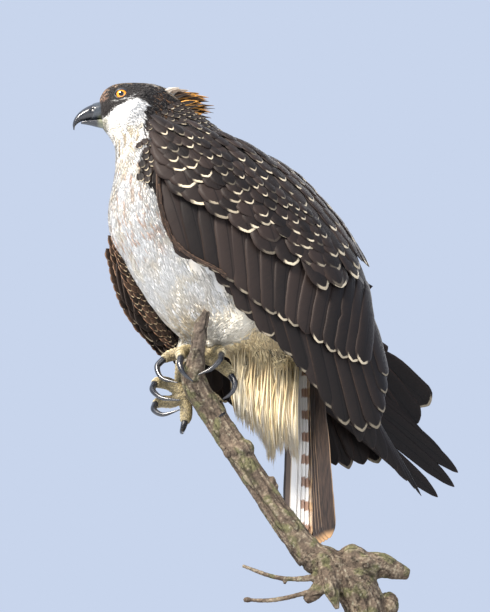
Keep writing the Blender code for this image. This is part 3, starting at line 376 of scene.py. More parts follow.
def vane_look(name, dark, light, rim, tip, roughness, rim_start):
    """Large feathers: barbs run out from the shaft; the tip's crescent and the edges are paler."""
    look = Look(name, roughness, Sheen_Weight=0.04, Sheen_Roughness=0.4, Specular_IOR_Level=0.18)
    along, across = look.uv("lie")
    crescent, edge, tone = look.marks()
    side = look.math("ABSOLUTE", across)
    barb_place = look.vector(look.plus(look.times(along, 26.0), look.times(side, -16.0)),
                             look.times(across, 1.2), look.times(tone, 40.0))
    barbs = look.noise(barb_place, 1.0, 3.0, 0.7)
    ragged = look.noise(look.place(), 330.0, 3.0, 0.7)
    uneven = look.times(look.math("SUBTRACT", ragged, 0.5), 0.3)
    near_edge = look.plus(look.math("POWER", look.math("MAXIMUM", along, 0.0), 2.0),
                          look.math("POWER", side, 1.0 / TIP_POWER))
    near_edge = look.plus(near_edge, uneven)
    narrow = look.ramp(look.plus(side, look.times(uneven, 1.4)), 0.66, 0.4)
    crescent_here = look.times(look.ramp(near_edge, 0.66, 0.76), look.ramp(along, 0.3, 0.55))
    crescent_here = look.times(look.times(crescent_here, narrow), crescent)
    rim_here = look.times(look.ramp(near_edge, rim_start, rim_start + 0.2), edge)
    web = look.plus(look.times(barbs, 0.75), look.times(tone, 0.5))
    web = look.plus(web, look.times(side, 0.22))
    ground = look.mix(look.ramp(web, 0.35, 1.15), dark, light)
    shaft = look.ramp(side, 0.02, 0.07, 1.0, 0.0)
    ground = look.mix(look.times(shaft, 0.55), ground, tuple(0.5 * value for value in dark))
    ground = look.mix(rim_here, ground, rim)
    look.colour(look.mix(crescent_here, ground, tip))
    look.rough(look.ramp(barbs, 0.2, 0.8, roughness - 0.1, roughness + 0.12))
    look.bump(look.plus(barbs, look.times(shaft, 0.8)), 0.5, 0.0004)
    return look.material


# Lights, camera and floor

CAMERA_PLACE = (-0.0432, -1.40, 0.02)
CAMERA_TARGET = (-0.0432, 0.0, 0.42)
LENS = 79.30
SENSOR = 36.0


def make_camera():
    camera = bpy.data.cameras.new("camera")
    camera.lens = LENS
    camera.sensor_width = SENSOR
    camera.clip_start = 0.01
    camera.clip_end = 50.0
    obj = bpy.data.objects.new("camera", camera)
    obj.location = CAMERA_PLACE
    direction = Vector(CAMERA_TARGET) - Vector(CAMERA_PLACE)
    obj.rotation_euler = direction.to_track_quat("-Z", "Y").to_euler()
    bpy.context.scene.collection.objects.link(obj)
    bpy.context.scene.camera = obj


# Each light: place, size, power, colour
LIGHTS = {
    "key": ((-1.1, -1.3, 1.75), 0.6, 125.0, (1.0, 0.93, 0.84)),
    "fill": ((1.2, -1.6, 0.5), 1.6, 16.0, (1.0, 0.97, 0.93)),
    "back": ((0.7, 1.5, 1.5), 1.2, 16.0, (1.0, 0.96, 0.92)),
}
SKY = (0.578, 0.665, 0.84)
SKY_STRENGTH = 1.0


def make_lights():
    for name, (place, size, power, colour) in LIGHTS.items():
        light = bpy.data.lights.new(name, "AREA")
        light.size = size
        light.energy = power
        light.color = colour
        obj = bpy.data.objects.new(name, light)
        obj.location = place
        obj.rotation_euler = (Vector(CAMERA_TARGET) - Vector(place)).to_track_quat("-Z", "Y").to_euler()
        bpy.context.scene.collection.objects.link(obj)
    world = bpy.data.worlds.new("studio")
    world.use_nodes = True
    background = world.node_tree.nodes["Background"]
    background.inputs["Color"].default_value = (*SKY, 1.0)
    background.inputs["Strength"].default_value = SKY_STRENGTH
    bpy.context.scene.world = world
    bpy.context.scene.view_settings.view_transform = "Standard"


FLOOR_HALF = 6000.0
FLOOR_TONES = ((0.6, 0.63, 0.67), (0.64, 0.66, 0.69))


def make_floor():
    half = FLOOR_HALF
    points = [(-half, -half, 0.0), (half, -half, 0.0), (half, half, 0.0), (-half, half, 0.0)]
    floor = build_mesh("floor", points, [np.array([(0, 1, 2, 3)])], False)
    look = Look("floor", 0.8)
    look.colour(look.mix(look.noise(look.place(), 3.0), *FLOOR_TONES))
    floor.data.materials.append(look.material)


# The folded wing's outer sheet, as in the solids

SHOULDER = (-110.0, 570.0)
WING_AXIS = (0.664, -0.748)
SHEET_CREST = -5.0
LOW_REACH = {"left": 110.0, "right": 138.0}
STEEPEST = math.radians(84.0)
SINE_LIMITS = (-0.98, 0.99)
SHEET_ALONG = {
    "left": (-60.0, 0.0, 63.0, 117.0, 185.0, 247.0, 303.0, 350.0, 380.0, 500.0),
    "right": (-60.0, 0.0, 63.0, 117.0, 185.0, 247.0, 303.0, 350.0, 400.0, 500.0),
}
SHEET_BACK = {
    "left": (56.0, 84.0, 114.5, 130.0, 134.5, 124.0, 107.0, 83.0, 62.0, 48.0),
    "right": (56.0, 84.0, 114.5, 130.0, 134.5, 136.0, 168.0, 195.0, 200.0, 200.0),
}
SHEET_BULGE = {
    "left": (52.0, 76.0, 93.0, 99.0, 99.0, 94.0, 84.0, 74.0, 66.0, 34.0),
    "right": (52.0, 76.0, 93.0, 99.0, 99.0, 94.0, 86.0, 77.0, 66.0, 46.0),
}
# Distances along and weights over which the sheet's sizes are evened
SOFTENING = ((-18.0, 0.25), (0.0, 0.5), (18.0, 0.25))
# Steps along and round the sheet over which its slope is measured
SLOPE_STEPS = (2.0, 0.03)
# The least distance from the bird's middle plane
MIDDLE_GAP = 0.8


def sheet_sizes(along, name):
    """How far the sheet reaches back and bulges out at distances along it."""
    back = sum(w * np.interp(along + d, SHEET_ALONG[name], SHEET_BACK[name]) for d, w in SOFTENING)
    bulge = sum(w * np.interp(along + d, SHEET_ALONG[name], SHEET_BULGE[name]) for d, w in SOFTENING)
    return back, bulge


def sheet_places(points, name):
    """Distances along and angles round the sheet of points (x, z) seen from the side."""
    points = np.asarray(points, dtype=float)
    dx, dz = points[:, 0] - SHOULDER[0], points[:, 1] - SHOULDER[1]
    along = dx * WING_AXIS[0] + dz * WING_AXIS[1]
    across = dz * WING_AXIS[0] - dx * WING_AXIS[1] - SHEET_CREST
    back, _ = sheet_sizes(along, name)
    reach = np.where(across > 0, back - SHEET_CREST, LOW_REACH[name])
    return np.stack((along, np.arcsin(np.clip(across / reach, *SINE_LIMITS))), axis=-1)


def sheet_surface(along, angle, name):
    """Points of the sheet at distances along it and angles round it."""
    back, bulge = sheet_sizes(along, name)
    reach = np.where(angle > 0, back - SHEET_CREST, LOW_REACH[name])
    across = SHEET_CREST + reach * np.sin(angle)
    return np.stack((SHOULDER[0] + along * WING_AXIS[0] - across * WING_AXIS[1],
                     SIDES[name] * bulge * np.cos(angle),
                     SHOULDER[1] + along * WING_AXIS[1] + across * WING_AXIS[0]), axis=-1)


def sheet_point(along, angle, height, name):
    """Points over the sheet, kept on their own side of the bird's middle."""
    side = SIDES[name]
    angle = np.minimum(angle, STEEPEST)
    step, turn = SLOPE_STEPS
    forward = sheet_surface(along + step, angle, name) - sheet_surface(along - step, angle, name)
    round_it = sheet_surface(along, angle + turn, name) - sheet_surface(along, angle - turn, name)
    outward = -side * unit(np.cross(forward, round_it))
    points = sheet_surface(along, angle, name) + np.asarray(height)[..., None] * outward
    points[..., 1] = side * np.maximum(side * points[..., 1], MIDDLE_GAP)
    return points


# Large feathers

VANE_THICKNESS = 0.34
TIP_POWER = 0.76
TIP_REACH = 0.985
LEAST_SHARE = 0.02
SHEET_JITTER = 0.018
NOTCHED = 0.3
NOTCH_DEPTH = 0.84
# Each feather has a cell of its own on the bake map, with its upper face in the left half and its lower face
# in the right half
CELL_U = (0.03, 0.47)
CELL_V = (0.03, 0.97)
# A feather's form: shares of the length that is rounded, of the width at the root, and of the width lost
# towards the tip, its camber, how much its front edge is lifted, and counts of columns, of rows and of rows
# in the rounded end
VaneForm = namedtuple("VaneForm", "rounded base taper camber lift columns rows tip_rows",
                      defaults=(0.0, 7, 7, 7))
VANE_FORMS = {
    "primary": VaneForm(0.13, 0.5, 0.25, 1.0, 0.01, 9, 12),
    "secondary": VaneForm(0.12, 0.5, 0.1, 1.2, 0.09, 9, 12),
    "under_secondary": VaneForm(0.12, 0.5, 0.1, 1.0, 0.05, 9, 12),
    "greater_covert": VaneForm(0.14, 0.55, 0.0, 1.4, 0.1, 9, 12),
    "covert": VaneForm(0.36, 0.6, 0.0, 1.2, 0.09),
    "scapular": VaneForm(0.34, 0.6, 0.0, 1.2, 0.08),
    "front": VaneForm(0.4, 0.6, 0.2, 0.5),
    "far": VaneForm(0.4, 0.6, 0.1, -0.8),
    "mantle": VaneForm(0.42, 0.6, 0.0, 0.7, 0.0, 5, 4, 5),
    "crest": VaneForm(0.5, 0.6, 0.55, 0.5, 0.0, 5),
    "tail": VaneForm(0.09, 0.55, 0.0, 0.8, 0.0, 9, 16),
}


def vane_shape(form):
    """A form's stations, the share of the width at each, its columns from edge to edge, and its points' lie.

    The lie is a place from 0 to 1 along the rounded end, below 0 before it, and a place across from -1 to 1.
    """
    body = np.linspace(0.0, 1.0 - form.rounded, form.rows, endpoint=False)
    turn = np.linspace(0.0, 0.5 * math.pi, form.tip_rows)
    t = np.concatenate((body, 1.0 - form.rounded + form.rounded * np.sin(turn)))
    u = (t - (1.0 - form.rounded)) / form.rounded
    rise = form.base + (1.0 - form.base) * smooth_step(t, 0.0, 0.5)
    narrowing = 1.0 - form.taper * smooth_step(t, 0.45, 1.0)
    rounding = (1.0 - TIP_REACH * np.clip(u, 0.0, 1.0) ** 2) ** TIP_POWER
    outline = np.maximum(rise * narrowing * rounding, LEAST_SHARE)
    j = np.linspace(-1.0, 1.0, form.columns)
    lie = np.stack(np.broadcast_arrays(u[:, None], outline[:, None] * j), axis=-1)
    return t, outline, j, lie


def plate_faces(rows, columns):
    """Quads of a closed plate of two layers of points: both faces, then the border between them."""
    layer = rows * columns
    grid = np.arange(layer).reshape(rows, columns)
    a = grid[:-1, :-1].ravel()
    upper = np.stack((a, a + 1, a + columns + 1, a + columns), axis=-1)
    border = np.concatenate((grid[0], grid[1:, -1], grid[-1, -2::-1], grid[-2:0:-1, 0]))
    ahead = np.roll(border, -1)
    sides = np.stack((ahead, border, border + layer, ahead + layer), axis=-1)
    return np.vstack((upper, upper[:, ::-1] + layer, sides))


class Vanes:
    """Collects feathers of one piece and makes them into one mesh."""

    def __init__(self, name):
        self.name = name
        self.points, self.quads, self.lies, self.marks, self.cells = [], [], [], [], []
        self.count = 0
        self.base = 0

    def add(self, top, bottom, lie, marks):
        """Feathers of one form as grids of stations by columns: both faces, the points' lie, the marks."""
        number, rows, columns = top.shape[:3]
        layer = rows * columns
        quads = plate_faces(rows, columns)
        offsets = self.base + 2 * layer * np.arange(number)
        self.quads.append((quads[None] + offsets[:, None, None]).reshape(-1, 4))
        points = np.concatenate((top.reshape(number, layer, 3), bottom.reshape(number, layer, 3)), axis=1)
        self.points.append(points.reshape(-1, 3))
        self.lies.append(np.tile(lie.reshape(layer, 2), (2 * number, 1)))
        self.marks.append(np.repeat(marks, 2 * layer, axis=0))
        cell = np.meshgrid(np.linspace(*CELL_U, columns), np.linspace(*CELL_V, rows))
        cell = np.stack(cell, axis=-1).reshape(-1, 2)
        corners = np.concatenate((cell, cell + (0.5, 0.0)))[quads]
        on_faces = 2 * (rows - 1) * (columns - 1)
        corners[on_faces:] = cell[quads[on_faces:] % layer]
        index = np.repeat(self.count + np.arange(number), len(quads) * 4)
        self.cells.append(np.column_stack((index, np.tile(corners.reshape(-1, 2), (number, 1)))))
        self.count += number
        self.base += 2 * layer * number

    def make(self):
        quads = np.vstack(self.quads)
        obj = build_mesh(self.name, np.vstack(self.points), [quads])
        add_uv(obj, "lie", np.vstack(self.lies)[quads.ravel()])
        cells = np.vstack(self.cells)
        side = math.ceil(math.sqrt(self.count))
        place = np.stack((cells[:, 0] % side, cells[:, 0] // side), axis=-1)
        add_uv(obj, "OFBake", (place + cells[:, 1:]) / side)
        add_colour(obj, "mark", np.vstack(self.marks))
        return obj


def add_sheet_vanes(vanes, form, name, roots, tips, width, heights, marks):
    """Feathers of a form lying on the sheet between places (along, angle), at heights from root to tip."""
    form = VANE_FORMS[form]
    number = len(roots)
    width = np.broadcast_to(width, (number,))
    middle = 0.5 * (roots + tips)
    here = sheet_surface(middle[:, 0], middle[:, 1], name)
    turned = sheet_surface(middle[:, 0], middle[:, 1] + RADIUS_STEP, name)
    radius = np.maximum(np.linalg.norm(turned - here, axis=-1) / RADIUS_STEP, LEAST_RADIUS)
    steps = np.stack((tips[:, 0] - roots[:, 0], radius * (tips[:, 1] - roots[:, 1])), axis=-1)
    a, b, radius = (values[:, None, None] for values in (*unit(steps).T, radius))
    t, outline, j, lie = vane_shape(form)
    jitter = 1.0 + RANDOM.normal(0.0, SHEET_JITTER, (number, len(t), 2))
    notched = RANDOM.random(number) < NOTCHED
    notch_at = RANDOM.integers(3, len(t) - 3, number)
    notch_side = RANDOM.integers(0, 2, number)
    jitter[np.arange(number)[notched], notch_at[notched], notch_side[notched]] *= NOTCH_DEPTH
    half = (0.5 * width[:, None] * outline)[:, :, None]
    offset = half * j * np.where(j < 0, jitter[:, :, :1], jitter[:, :, 1:])
    height = np.interp(t, np.linspace(0.0, 1.0, len(heights)), heights)[:, None]
    height = height + RANDOM.uniform(-0.25, 0.25, number)[:, None, None] - form.lift * half * j
    height = height + form.camber * (1.0 - j ** 2) * outline[:, None] - 0.6 * form.camber
    centre = roots[:, None] + t[:, None] * (tips - roots)[:, None]
    along, angle = centre[..., :1] - b * offset, centre[..., 1:] + a * offset / radius
    top, bottom = (sheet_point(along, angle, height + shift, name)
                   for shift in (0.5 * VANE_THICKNESS, -0.5 * VANE_THICKNESS))
    vanes.add(top, bottom, lie, marks)


def marks_for(number, crescent, edge, tone=(0.0, 1.0)):
    """Marks of feathers: strength of the tip's crescent, of the edge, and a tone of their own."""
    return np.stack((np.clip(crescent + RANDOM.normal(0.0, 0.08, number) * (crescent > 0), 0.0, 1.0),
                     np.full(number, edge), RANDOM.uniform(*tone, number), np.ones(number)), axis=-1)


def uneven_marks(number, crescent, edge):
    """Marks of feathers of which some have a weak crescent or none."""
    marks = marks_for(number, crescent, edge)
    marks[:, 0] *= np.clip(RANDOM.uniform(-0.4, 1.6, number), 0.0, 1.0)
    return marks


# Wings: lines of points (x, z) seen from the side, and of places (along, degrees) on the sheet

RADIUS_STEP = 0.02
LEAST_RADIUS = 12.0
COVERT_EDGE = {
    "left": ((-124.0, 518.0), (-64.0, 505.0), (-8.0, 480.0), (50.0, 458.0), (98.0, 440.0), (136.0, 430.0)),
    "right": ((-131.0, 518.0), (-72.0, 502.0), (-12.0, 478.0), (50.0, 458.0), (98.0, 440.0), (136.0, 430.0)),
}
SECONDARY_EDGE = {
    "left": ((-112.0, 489.0), (-58.0, 478.0), (-4.0, 453.0), (50.0, 430.0), (98.0, 413.0), (138.0, 402.0)),
    "right": ((-121.0, 486.0), (-67.0, 474.0), (-8.0, 451.0), (50.0, 430.0), (98.0, 413.0), (144.0, 408.0)),
}
HAND_EDGE = ((-26.0, 452.0), (24.0, 434.0), (74.0, 413.0), (112.0, 398.0))
COVERT_TOP = (
    (-19.0, 8.0), (-10.0, 32.0), (26.0, 56.0), (72.0, 74.0), (130.0, 84.0), (196.0, 84.0),
    (258.0, 84.0),
)
HAND_TOP = ((-30.0, 484.0), (20.0, 464.0), (70.0, 446.0), (110.0, 430.0))
GREATER_TIPS = {
    "left": ((-92.0, 443.0), (-47.0, 422.0), (-3.0, 390.0), (33.0, 373.0), (78.0, 351.0), (116.0, 346.0)),
    "right": ((-113.0, 440.0), (-76.0, 402.0), (-16.0, 370.0), (42.0, 348.0), (106.0, 342.0), (172.0, 366.0),
              (208.0, 404.0)),
}
SECONDARY_TIPS = {
    "left": ((-88.0, 447.0), (-52.0, 425.0), (-14.0, 379.0), (34.0, 343.0), (65.0, 314.0), (94.0, 282.0),
             (131.0, 281.0), (144.0, 318.0), (150.0, 356.0)),
    "right": ((-107.0, 434.0), (-92.0, 395.0), (-61.0, 367.0), (-14.0, 338.0), (36.0, 308.0), (92.0, 274.0),
              (148.0, 258.0), (214.0, 284.0), (270.0, 372.0)),
}
PRIMARY_TIPS = {
    "left": ((116.0, 266.0), (134.0, 260.0), (152.0, 250.0), (168.0, 241.0), (182.0, 232.0), (194.0, 225.0),
             (205.0, 219.0)),
    "right": ((203.0, 313.0), (227.0, 298.0), (248.0, 283.5), (264.0, 269.0), (274.0, 257.0), (268.0, 240.0),
              (247.0, 227.0)),
}
PRIMARY_ROOTS = (0.92, 0.12)
PRIMARY_HEIGHTS = (-14.6, -1.05)
PRIMARY_WIDTH = 23.0
SECONDARY_WIDTH = 31.0
INNERMOST_WIDER = 4.0
# Shifts (x, z) of the roots from the edge of the feathers above, and of the under layer's tips
PRIMARY_SHIFT = (-2.0, 15.0)
LONG_ROOTS = (0.0, 15.0)
GREATER_ROOTS = (0.0, 12.0)
UNDER_TIPS = (0.0, 3.0)
SECONDARY_HEIGHTS = (-8.4, -8.4, -7.4)
UNDER_HEIGHTS = (-9.6, -9.6, -9.0)
GREATER_WIDTH = 27.0
GREATER_HEIGHTS = (-2.6, -2.6)
LONG_FEATHERS = 15
# Lines of covert tips from the lowest tier up to the shoulder
COVERT_LINES = (
    ((-104.0, 512.0), (-72.0, 492.0), (-33.0, 471.0), (3.0, 444.0), (52.0, 430.0), (92.0, 424.0)),
    ((-113.0, 541.0), (-82.0, 524.0), (-42.0, 503.0), (0.0, 478.0), (48.0, 462.0), (80.0, 456.0)),
    ((-113.0, 570.0), (-84.0, 557.0), (-48.0, 537.0), (-8.0, 512.0), (30.0, 494.0), (60.0, 486.0)),
)
# Tiers of coverts: place between those lines, shift of the roots, count, width, heights, crescent
COVERT_TIERS = (
    (0.0, (-13.0, 42.0), 8, 36.0, (-2.2, 0.6, 2.4, 2.8), 1.0),
    (0.45, (-13.0, 37.0), 9, 32.0, (-1.6, 1.0, 2.9, 3.4), 1.0),
    (0.9, (-14.0, 32.0), 11, 26.0, (-1.2, 1.4, 3.3, 3.9), 0.95),
    (1.25, (-14.0, 28.0), 13, 20.0, (-1.0, 1.8, 3.7, 4.4), 0.9),
    (1.6, (-14.0, 25.0), 15, 16.0, (-0.6, 2.2, 4.1, 4.7), 0.9),
    (2.0, (-14.0, 22.0), 17, 13.0, (-0.4, 2.4, 4.3, 4.9), 0.9),
    (2.35, (-13.0, 20.0), 17, 11.5, (-0.4, 2.4, 4.3, 4.9), 0.9),
)
# The far wing's tiers start this share of the way along, behind the breast
TIER_START = {"left": 0.0, "right": 0.09}
SCAPULAR_ANGLES = (20.0, 27.0, 34.0, 42.0, 50.0, 58.0, 66.0, 74.0, 81.0)
SCAPULAR_LIMITS = (-22.0, 185.0)
# How far ahead of the plate's top line each row starts: degrees, distance
SCAPULAR_AHEAD = ((40.0, 12.0), (58.0, -13.0))
SCAPULAR_STAGGER = 9.0
SCAPULAR_TURN = math.radians(6.0)
# Lengths and widths: at the start, and added with each millimetre along
SCAPULAR_LENGTH = (20.0, 0.19)
SCAPULAR_WIDTH = (11.5, 0.1)
SCAPULAR_SPACING = 0.4
# Heights of the first feather of a row, of the second, and of the others
SCAPULAR_HEIGHTS = (
    (slice(0, 1), (-12.0, -9.0, -4.5, -0.5)),
    (slice(1, 2), (-7.0, -3.5, 0.5, 2.0)),
    (slice(2, None), (-1.0, 1.2, 2.8, 3.4)),
)
# The wing's front edge, from the shoulder round the wrist to the lower end of the coverts
WING_FRONT = (
    (-107.1, 579.0), (-114.0, 548.3), (-119.0, 525.0), (-115.3, 488.7), (-103.2, 459.8), (-85.2, 442.6),
    (-56.0, 428.0), (-48.0, 421.0),
)
# Rows of feathers there: count, shift of the line, width, heights
FRONT_ROWS = (
    (46, (0.0, 0.0), 2.0, (-0.6, 0.4, 0.7)),
    (40, (1.6, 0.64), 3.0, (-0.8, 0.0, 0.3)),
)
FRONT_LENGTH = 0.075
# The far wing's front strip, seen beyond the breast, between two lines
FAR_OUTER = (
    (-131.6, 516.6), (-127.4, 487.9), (-122.0, 459.6), (-115.7, 431.6), (-101.5, 408.0), (-80.7, 387.3),
    (-64.5, 375.1),
)
FAR_INNER = (
    (-126.7, 505.4), (-118.2, 486.6), (-107.4, 464.6), (-94.4, 442.9), (-81.4, 423.6), (-67.3, 404.4),
    (-53.2, 386.3),
)
# Its rows of feathers: place between the lines, where the row starts, added width, edge
FAR_ROWS = (
    (1.0, 0.0, 0.0, 1.0), (0.75, 0.0, 0.0, 1.0), (0.5, 0.0, 0.0, 1.0), (0.3, 0.0, 0.0, 1.0),
    (0.15, 0.12, 4.0, 0.6),
)
FAR_COUNT = 17
FAR_END = 0.9
FAR_LENGTH = 0.1
FAR_WIDTH = (8.0, 11.0)
FAR_HEIGHTS = np.array((-10.6, -12.0, -12.8))
PLATE_COLOUR = (0.02, 0.015, 0.013)


def line_places(line, fractions, name, shift=(0.0, 0.0)):
    """Places on the sheet at fractions of the way along a shifted line of points."""
    return sheet_places(smooth_line(np.asarray(line) + shift, fractions), name)


def covert_line(place):
    """A line of covert tips at a place between the named ones."""
    k = min(int(place), len(COVERT_LINES) - 2)
    first, second = np.array(COVERT_LINES[k]), np.array(COVERT_LINES[k + 1])
    return first + (place - k) * (second - first)


def slab_mesh(name, parts, wing):
    """Closed plates under the feathers, each on the sheet between two lines of places.

    Each part has its two lines, counts of columns and rows, and the heights of its outer and inner face.
    """
    points, faces, base = [], [], 0
    for upper, lower, columns, rows, (outer, inner) in parts:
        f, r = np.linspace(0.0, 1.0, columns), np.linspace(0.0, 1.0, rows)[:, None]
        first, second = smooth_line(upper, f)[None], smooth_line(lower, f)[None]
        place = (1.0 - r[..., None]) * first + r[..., None] * second
        rim = np.minimum(1.0, 4.0 * np.minimum(np.minimum(r, 1.0 - r), np.minimum(f, 1.0 - f)[None]))
        middle = 0.5 * (outer + inner)
        for depth in (outer, inner):
            height = middle + (depth - middle) * np.sqrt(rim)
            points.append(sheet_point(place[..., 0], place[..., 1], height, wing).reshape(-1, 3))
        faces.append(plate_faces(rows, columns) + base)
        base += 2 * rows * columns
    return build_mesh(name, np.vstack(points), [np.vstack(faces)])


def make_front_edge(name, look):
    """Small rufous-edged feathers along the wing's front edge, and the far wing's strip."""
    vanes = Vanes(f"wing_{name}_front")
    for count, shift, width, heights in FRONT_ROWS:
        f = (np.arange(count) + 0.5 + RANDOM.uniform(-0.2, 0.2, count)) / count
        roots = line_places(WING_FRONT, f, name, shift)
        tips = smooth_line(np.add(WING_FRONT, shift), f + FRONT_LENGTH) + RANDOM.normal(0.0, 0.5, (count, 2))
        add_sheet_vanes(vanes, "front", name, roots, sheet_places(tips, name), width, heights,
                        marks_for(count, 0.0, 0.8))
    for row, (share, start, wider, edge) in enumerate(FAR_ROWS if name == "right" else ()):
        line = np.array(FAR_OUTER) + share * (np.array(FAR_INNER) - np.array(FAR_OUTER))
        f = (np.arange(FAR_COUNT) + 0.5 * (row % 2) + RANDOM.uniform(-0.15, 0.15, FAR_COUNT)) / FAR_COUNT
        f = np.clip(f, start, FAR_END)
        roots, tips = line_places(line, f, name), line_places(line, f + FAR_LENGTH, name)
        width = RANDOM.uniform(*FAR_WIDTH, FAR_COUNT) + wider
        add_sheet_vanes(vanes, "far", name, roots, tips, width, smooth_step(share, 0.0, 0.6) * FAR_HEIGHTS,
                        uneven_marks(FAR_COUNT, 1.0, edge))
    return finish_piece(vanes.make(), look)


def add_flight_feathers(vanes, name):
    """Primaries one by one, then secondaries, and a second layer of them beneath."""
    tips, (first, last), (height, step) = PRIMARY_TIPS[name], PRIMARY_ROOTS, PRIMARY_HEIGHTS
    for k, point in enumerate(tips):
        root = line_places(HAND_EDGE, first + (last - first) * k / (len(tips) - 1), name, PRIMARY_SHIFT)
        add_sheet_vanes(vanes, "primary", name, root, sheet_places([point], name), PRIMARY_WIDTH,
                        (height + step * k,) * 2, marks_for(1, 0.0, 0.25, (0.0, 0.3)))
    edge, tips, count = SECONDARY_EDGE[name], SECONDARY_TIPS[name], LONG_FEATHERS
    f = (np.arange(count) + 0.5) / (count + 0.2)
    width = SECONDARY_WIDTH + INNERMOST_WIDER * smooth_step(f, 0.86, 0.98)
    add_sheet_vanes(vanes, "secondary", name, line_places(edge, f, name, LONG_ROOTS),
                    line_places(tips, f, name), width, SECONDARY_HEIGHTS,
                    marks_for(count, 0.3, 0.3, (0.0, 0.6)))
    f = (np.arange(count - 1) + 1.0) / (count + 0.2)
    add_sheet_vanes(vanes, "under_secondary", name, line_places(edge, f, name, LONG_ROOTS),
                    line_places(tips, f, name, UNDER_TIPS), SECONDARY_WIDTH, UNDER_HEIGHTS,
                    marks_for(count - 1, 0.0, 0.3, (0.0, 0.4)))


def add_coverts(vanes, name):
    """Greater coverts, then the tiers above them."""
    count = LONG_FEATHERS
    f = (np.arange(count) + 0.6) / (count + 0.3)
    add_sheet_vanes(vanes, "greater_covert", name, line_places(COVERT_EDGE[name], f, name, GREATER_ROOTS),
                    line_places(GREATER_TIPS[name], f, name), GREATER_WIDTH, GREATER_HEIGHTS,
                    uneven_marks(count, 0.9, 0.12))
    for place, shift, count, width, heights, crescent in COVERT_TIERS:
        line = covert_line(place)
        f = (np.arange(count) + 0.5 + RANDOM.uniform(-0.15, 0.15, count)) / count
        f = TIER_START[name] + (1.0 - TIER_START[name]) * f
        wander = RANDOM.normal(0.0, 1.6, (count, 2))
        roots, tips = (sheet_places(smooth_line(ends, f) + wander, name) for ends in (line + shift, line))
        add_sheet_vanes(vanes, "covert", name, roots, tips, width * RANDOM.uniform(0.9, 1.1, count), heights,
                        uneven_marks(count, crescent, 0.1))


def add_scapulars(vanes, name):
    """Rows of shoulder feathers, one behind the other along the sheet."""
    for row, degrees in enumerate(SCAPULAR_ANGLES):
        start = np.interp(degrees, *zip(*[(d, a) for a, d in COVERT_TOP[:5]]))
        start = max(start - np.interp(degrees, *zip(*SCAPULAR_AHEAD)), SCAPULAR_LIMITS[0])
        start += SCAPULAR_STAGGER * (row % 2)
        roots, tips = [], []
        while start < SCAPULAR_LIMITS[1]:
            length = (SCAPULAR_LENGTH[0] + SCAPULAR_LENGTH[1] * max(start, 0.0)) * RANDOM.uniform(0.92, 1.08)
            angle = math.radians(degrees + RANDOM.uniform(-2.0, 2.0))
            roots.append((start, angle))
            tips.append((start + length, angle - SCAPULAR_TURN))
            start += SCAPULAR_SPACING * length
        roots, tips = np.array(roots), np.array(tips)
        width = SCAPULAR_WIDTH[0] + SCAPULAR_WIDTH[1] * np.maximum(roots[:, 0], 0.0)
        for part, heights in SCAPULAR_HEIGHTS:
            add_sheet_vanes(vanes, "scapular", name, roots[part], tips[part], width[part], heights,
                            uneven_marks(len(roots[part]), 0.9, 0.1))


def make_wing(name, look, dark_look, edge_look):
    """A folded wing: its feathers, its front edge and the plates under them."""
    vanes, flight = Vanes(f"wing_{name}_feathers"), Vanes(f"wing_{name}_flight")
    add_flight_feathers(flight, name)
    add_coverts(vanes, name)
    add_scapulars(vanes, name)
    make_front_edge(name, edge_look)
    covert_edge = COVERT_EDGE[name]
    top = [(along, math.radians(degrees)) for along, degrees in COVERT_TOP]
    core = slab_mesh(f"wing_{name}_base", (
        (top, sheet_places(covert_edge, name), 33, 25, (-1.0, -22.0)),
        (sheet_places(np.add(covert_edge, (0.0, 2.0)), name),
         sheet_places(SECONDARY_EDGE[name], name), 33, 9, (-6.0, -13.5)),
        (sheet_places(HAND_TOP, name), sheet_places(HAND_EDGE, name), 21, 9, (-13.0, -22.6)),
    ), name)
    add_colour(core, "coat", np.tile(PLATE_COLOUR, (len(core.data.vertices), 1)))
    finish_piece(core, dark_look)
    finish_piece(vanes.make(), look,
                 [f"wing_{name}_{part}" for part in ("coverts", "secondaries", "primaries")])
    finish_piece(flight.make(), look)


# Skin: one surface for head, neck, body, thighs and the plume's core

SKIN_DEPTH = ((0.0, 0.5), (5.0, 0.9), (7.5, 1.0), (9.0, -0.9), (11.5, -0.9), (13.0, 1.4), (18.0, 2.0))
SKIN_VOXEL = 2.1
THIGHS = {
    "left": (((-5.0, -38.0, 412.0), (-25.0, -34.0, 392.0), (-40.0, -25.0, 376.0), (-46.0, -19.0, 369.0)),
             (32.0, 27.0, 16.0, 9.0)),
    "right": (((-10.0, 36.0, 408.0), (-35.0, 30.0, 384.0), (-52.0, 23.0, 366.0), (-59.0, 19.0, 356.0)),
              (32.0, 26.0, 15.0, 9.0)),
}
# The plume's core: height, front x, back x, half width
PLUME = (
    (386.0, -10.0, 64.0, 32.0),
    (362.0, -12.0, 64.0, 33.0),
    (337.0, -4.0, 62.0, 28.0),
    (312.0, 8.0, 58.0, 19.0),
    (292.0, 22.0, 52.0, 9.0),
)
PLUME_TOP = 372.0
THIGH_DEPTH = 2.0
EYE_CENTRE = (-136.8, 19.8, 639.8)
EYE_RADIUS = 8.2


def bulge(points, centre, spread, amount):
    """Pushes points away from the body's middle plane round a place (x, z) of the head, on both sides."""
    dx, dz = (points[..., 0] - centre[0]) / spread[0], (points[..., 2] - centre[1]) / spread[1]
    near = np.exp(-(dx ** 2 + dz ** 2))
    points = points.copy()
    side = points[..., 1]
    points[..., 1] += np.sign(side) * amount * near * smooth_step(np.abs(side), 3.0, 14.0)
    return points


# Forms of the head: place (x, z), spread, push outward
HEAD_FORMS = (
    ((-139.0, 651.0), (13.0, 5.0), 2.6),
    ((-138.0, 640.0), (9.0, 7.0), -2.2),
    ((-124.0, 621.0), (16.0, 11.0), 3.4),
    ((-150.0, 630.0), (8.0, 8.0), -1.2),
    ((-104.0, 636.0), (16.0, 12.0), 2.0),
)


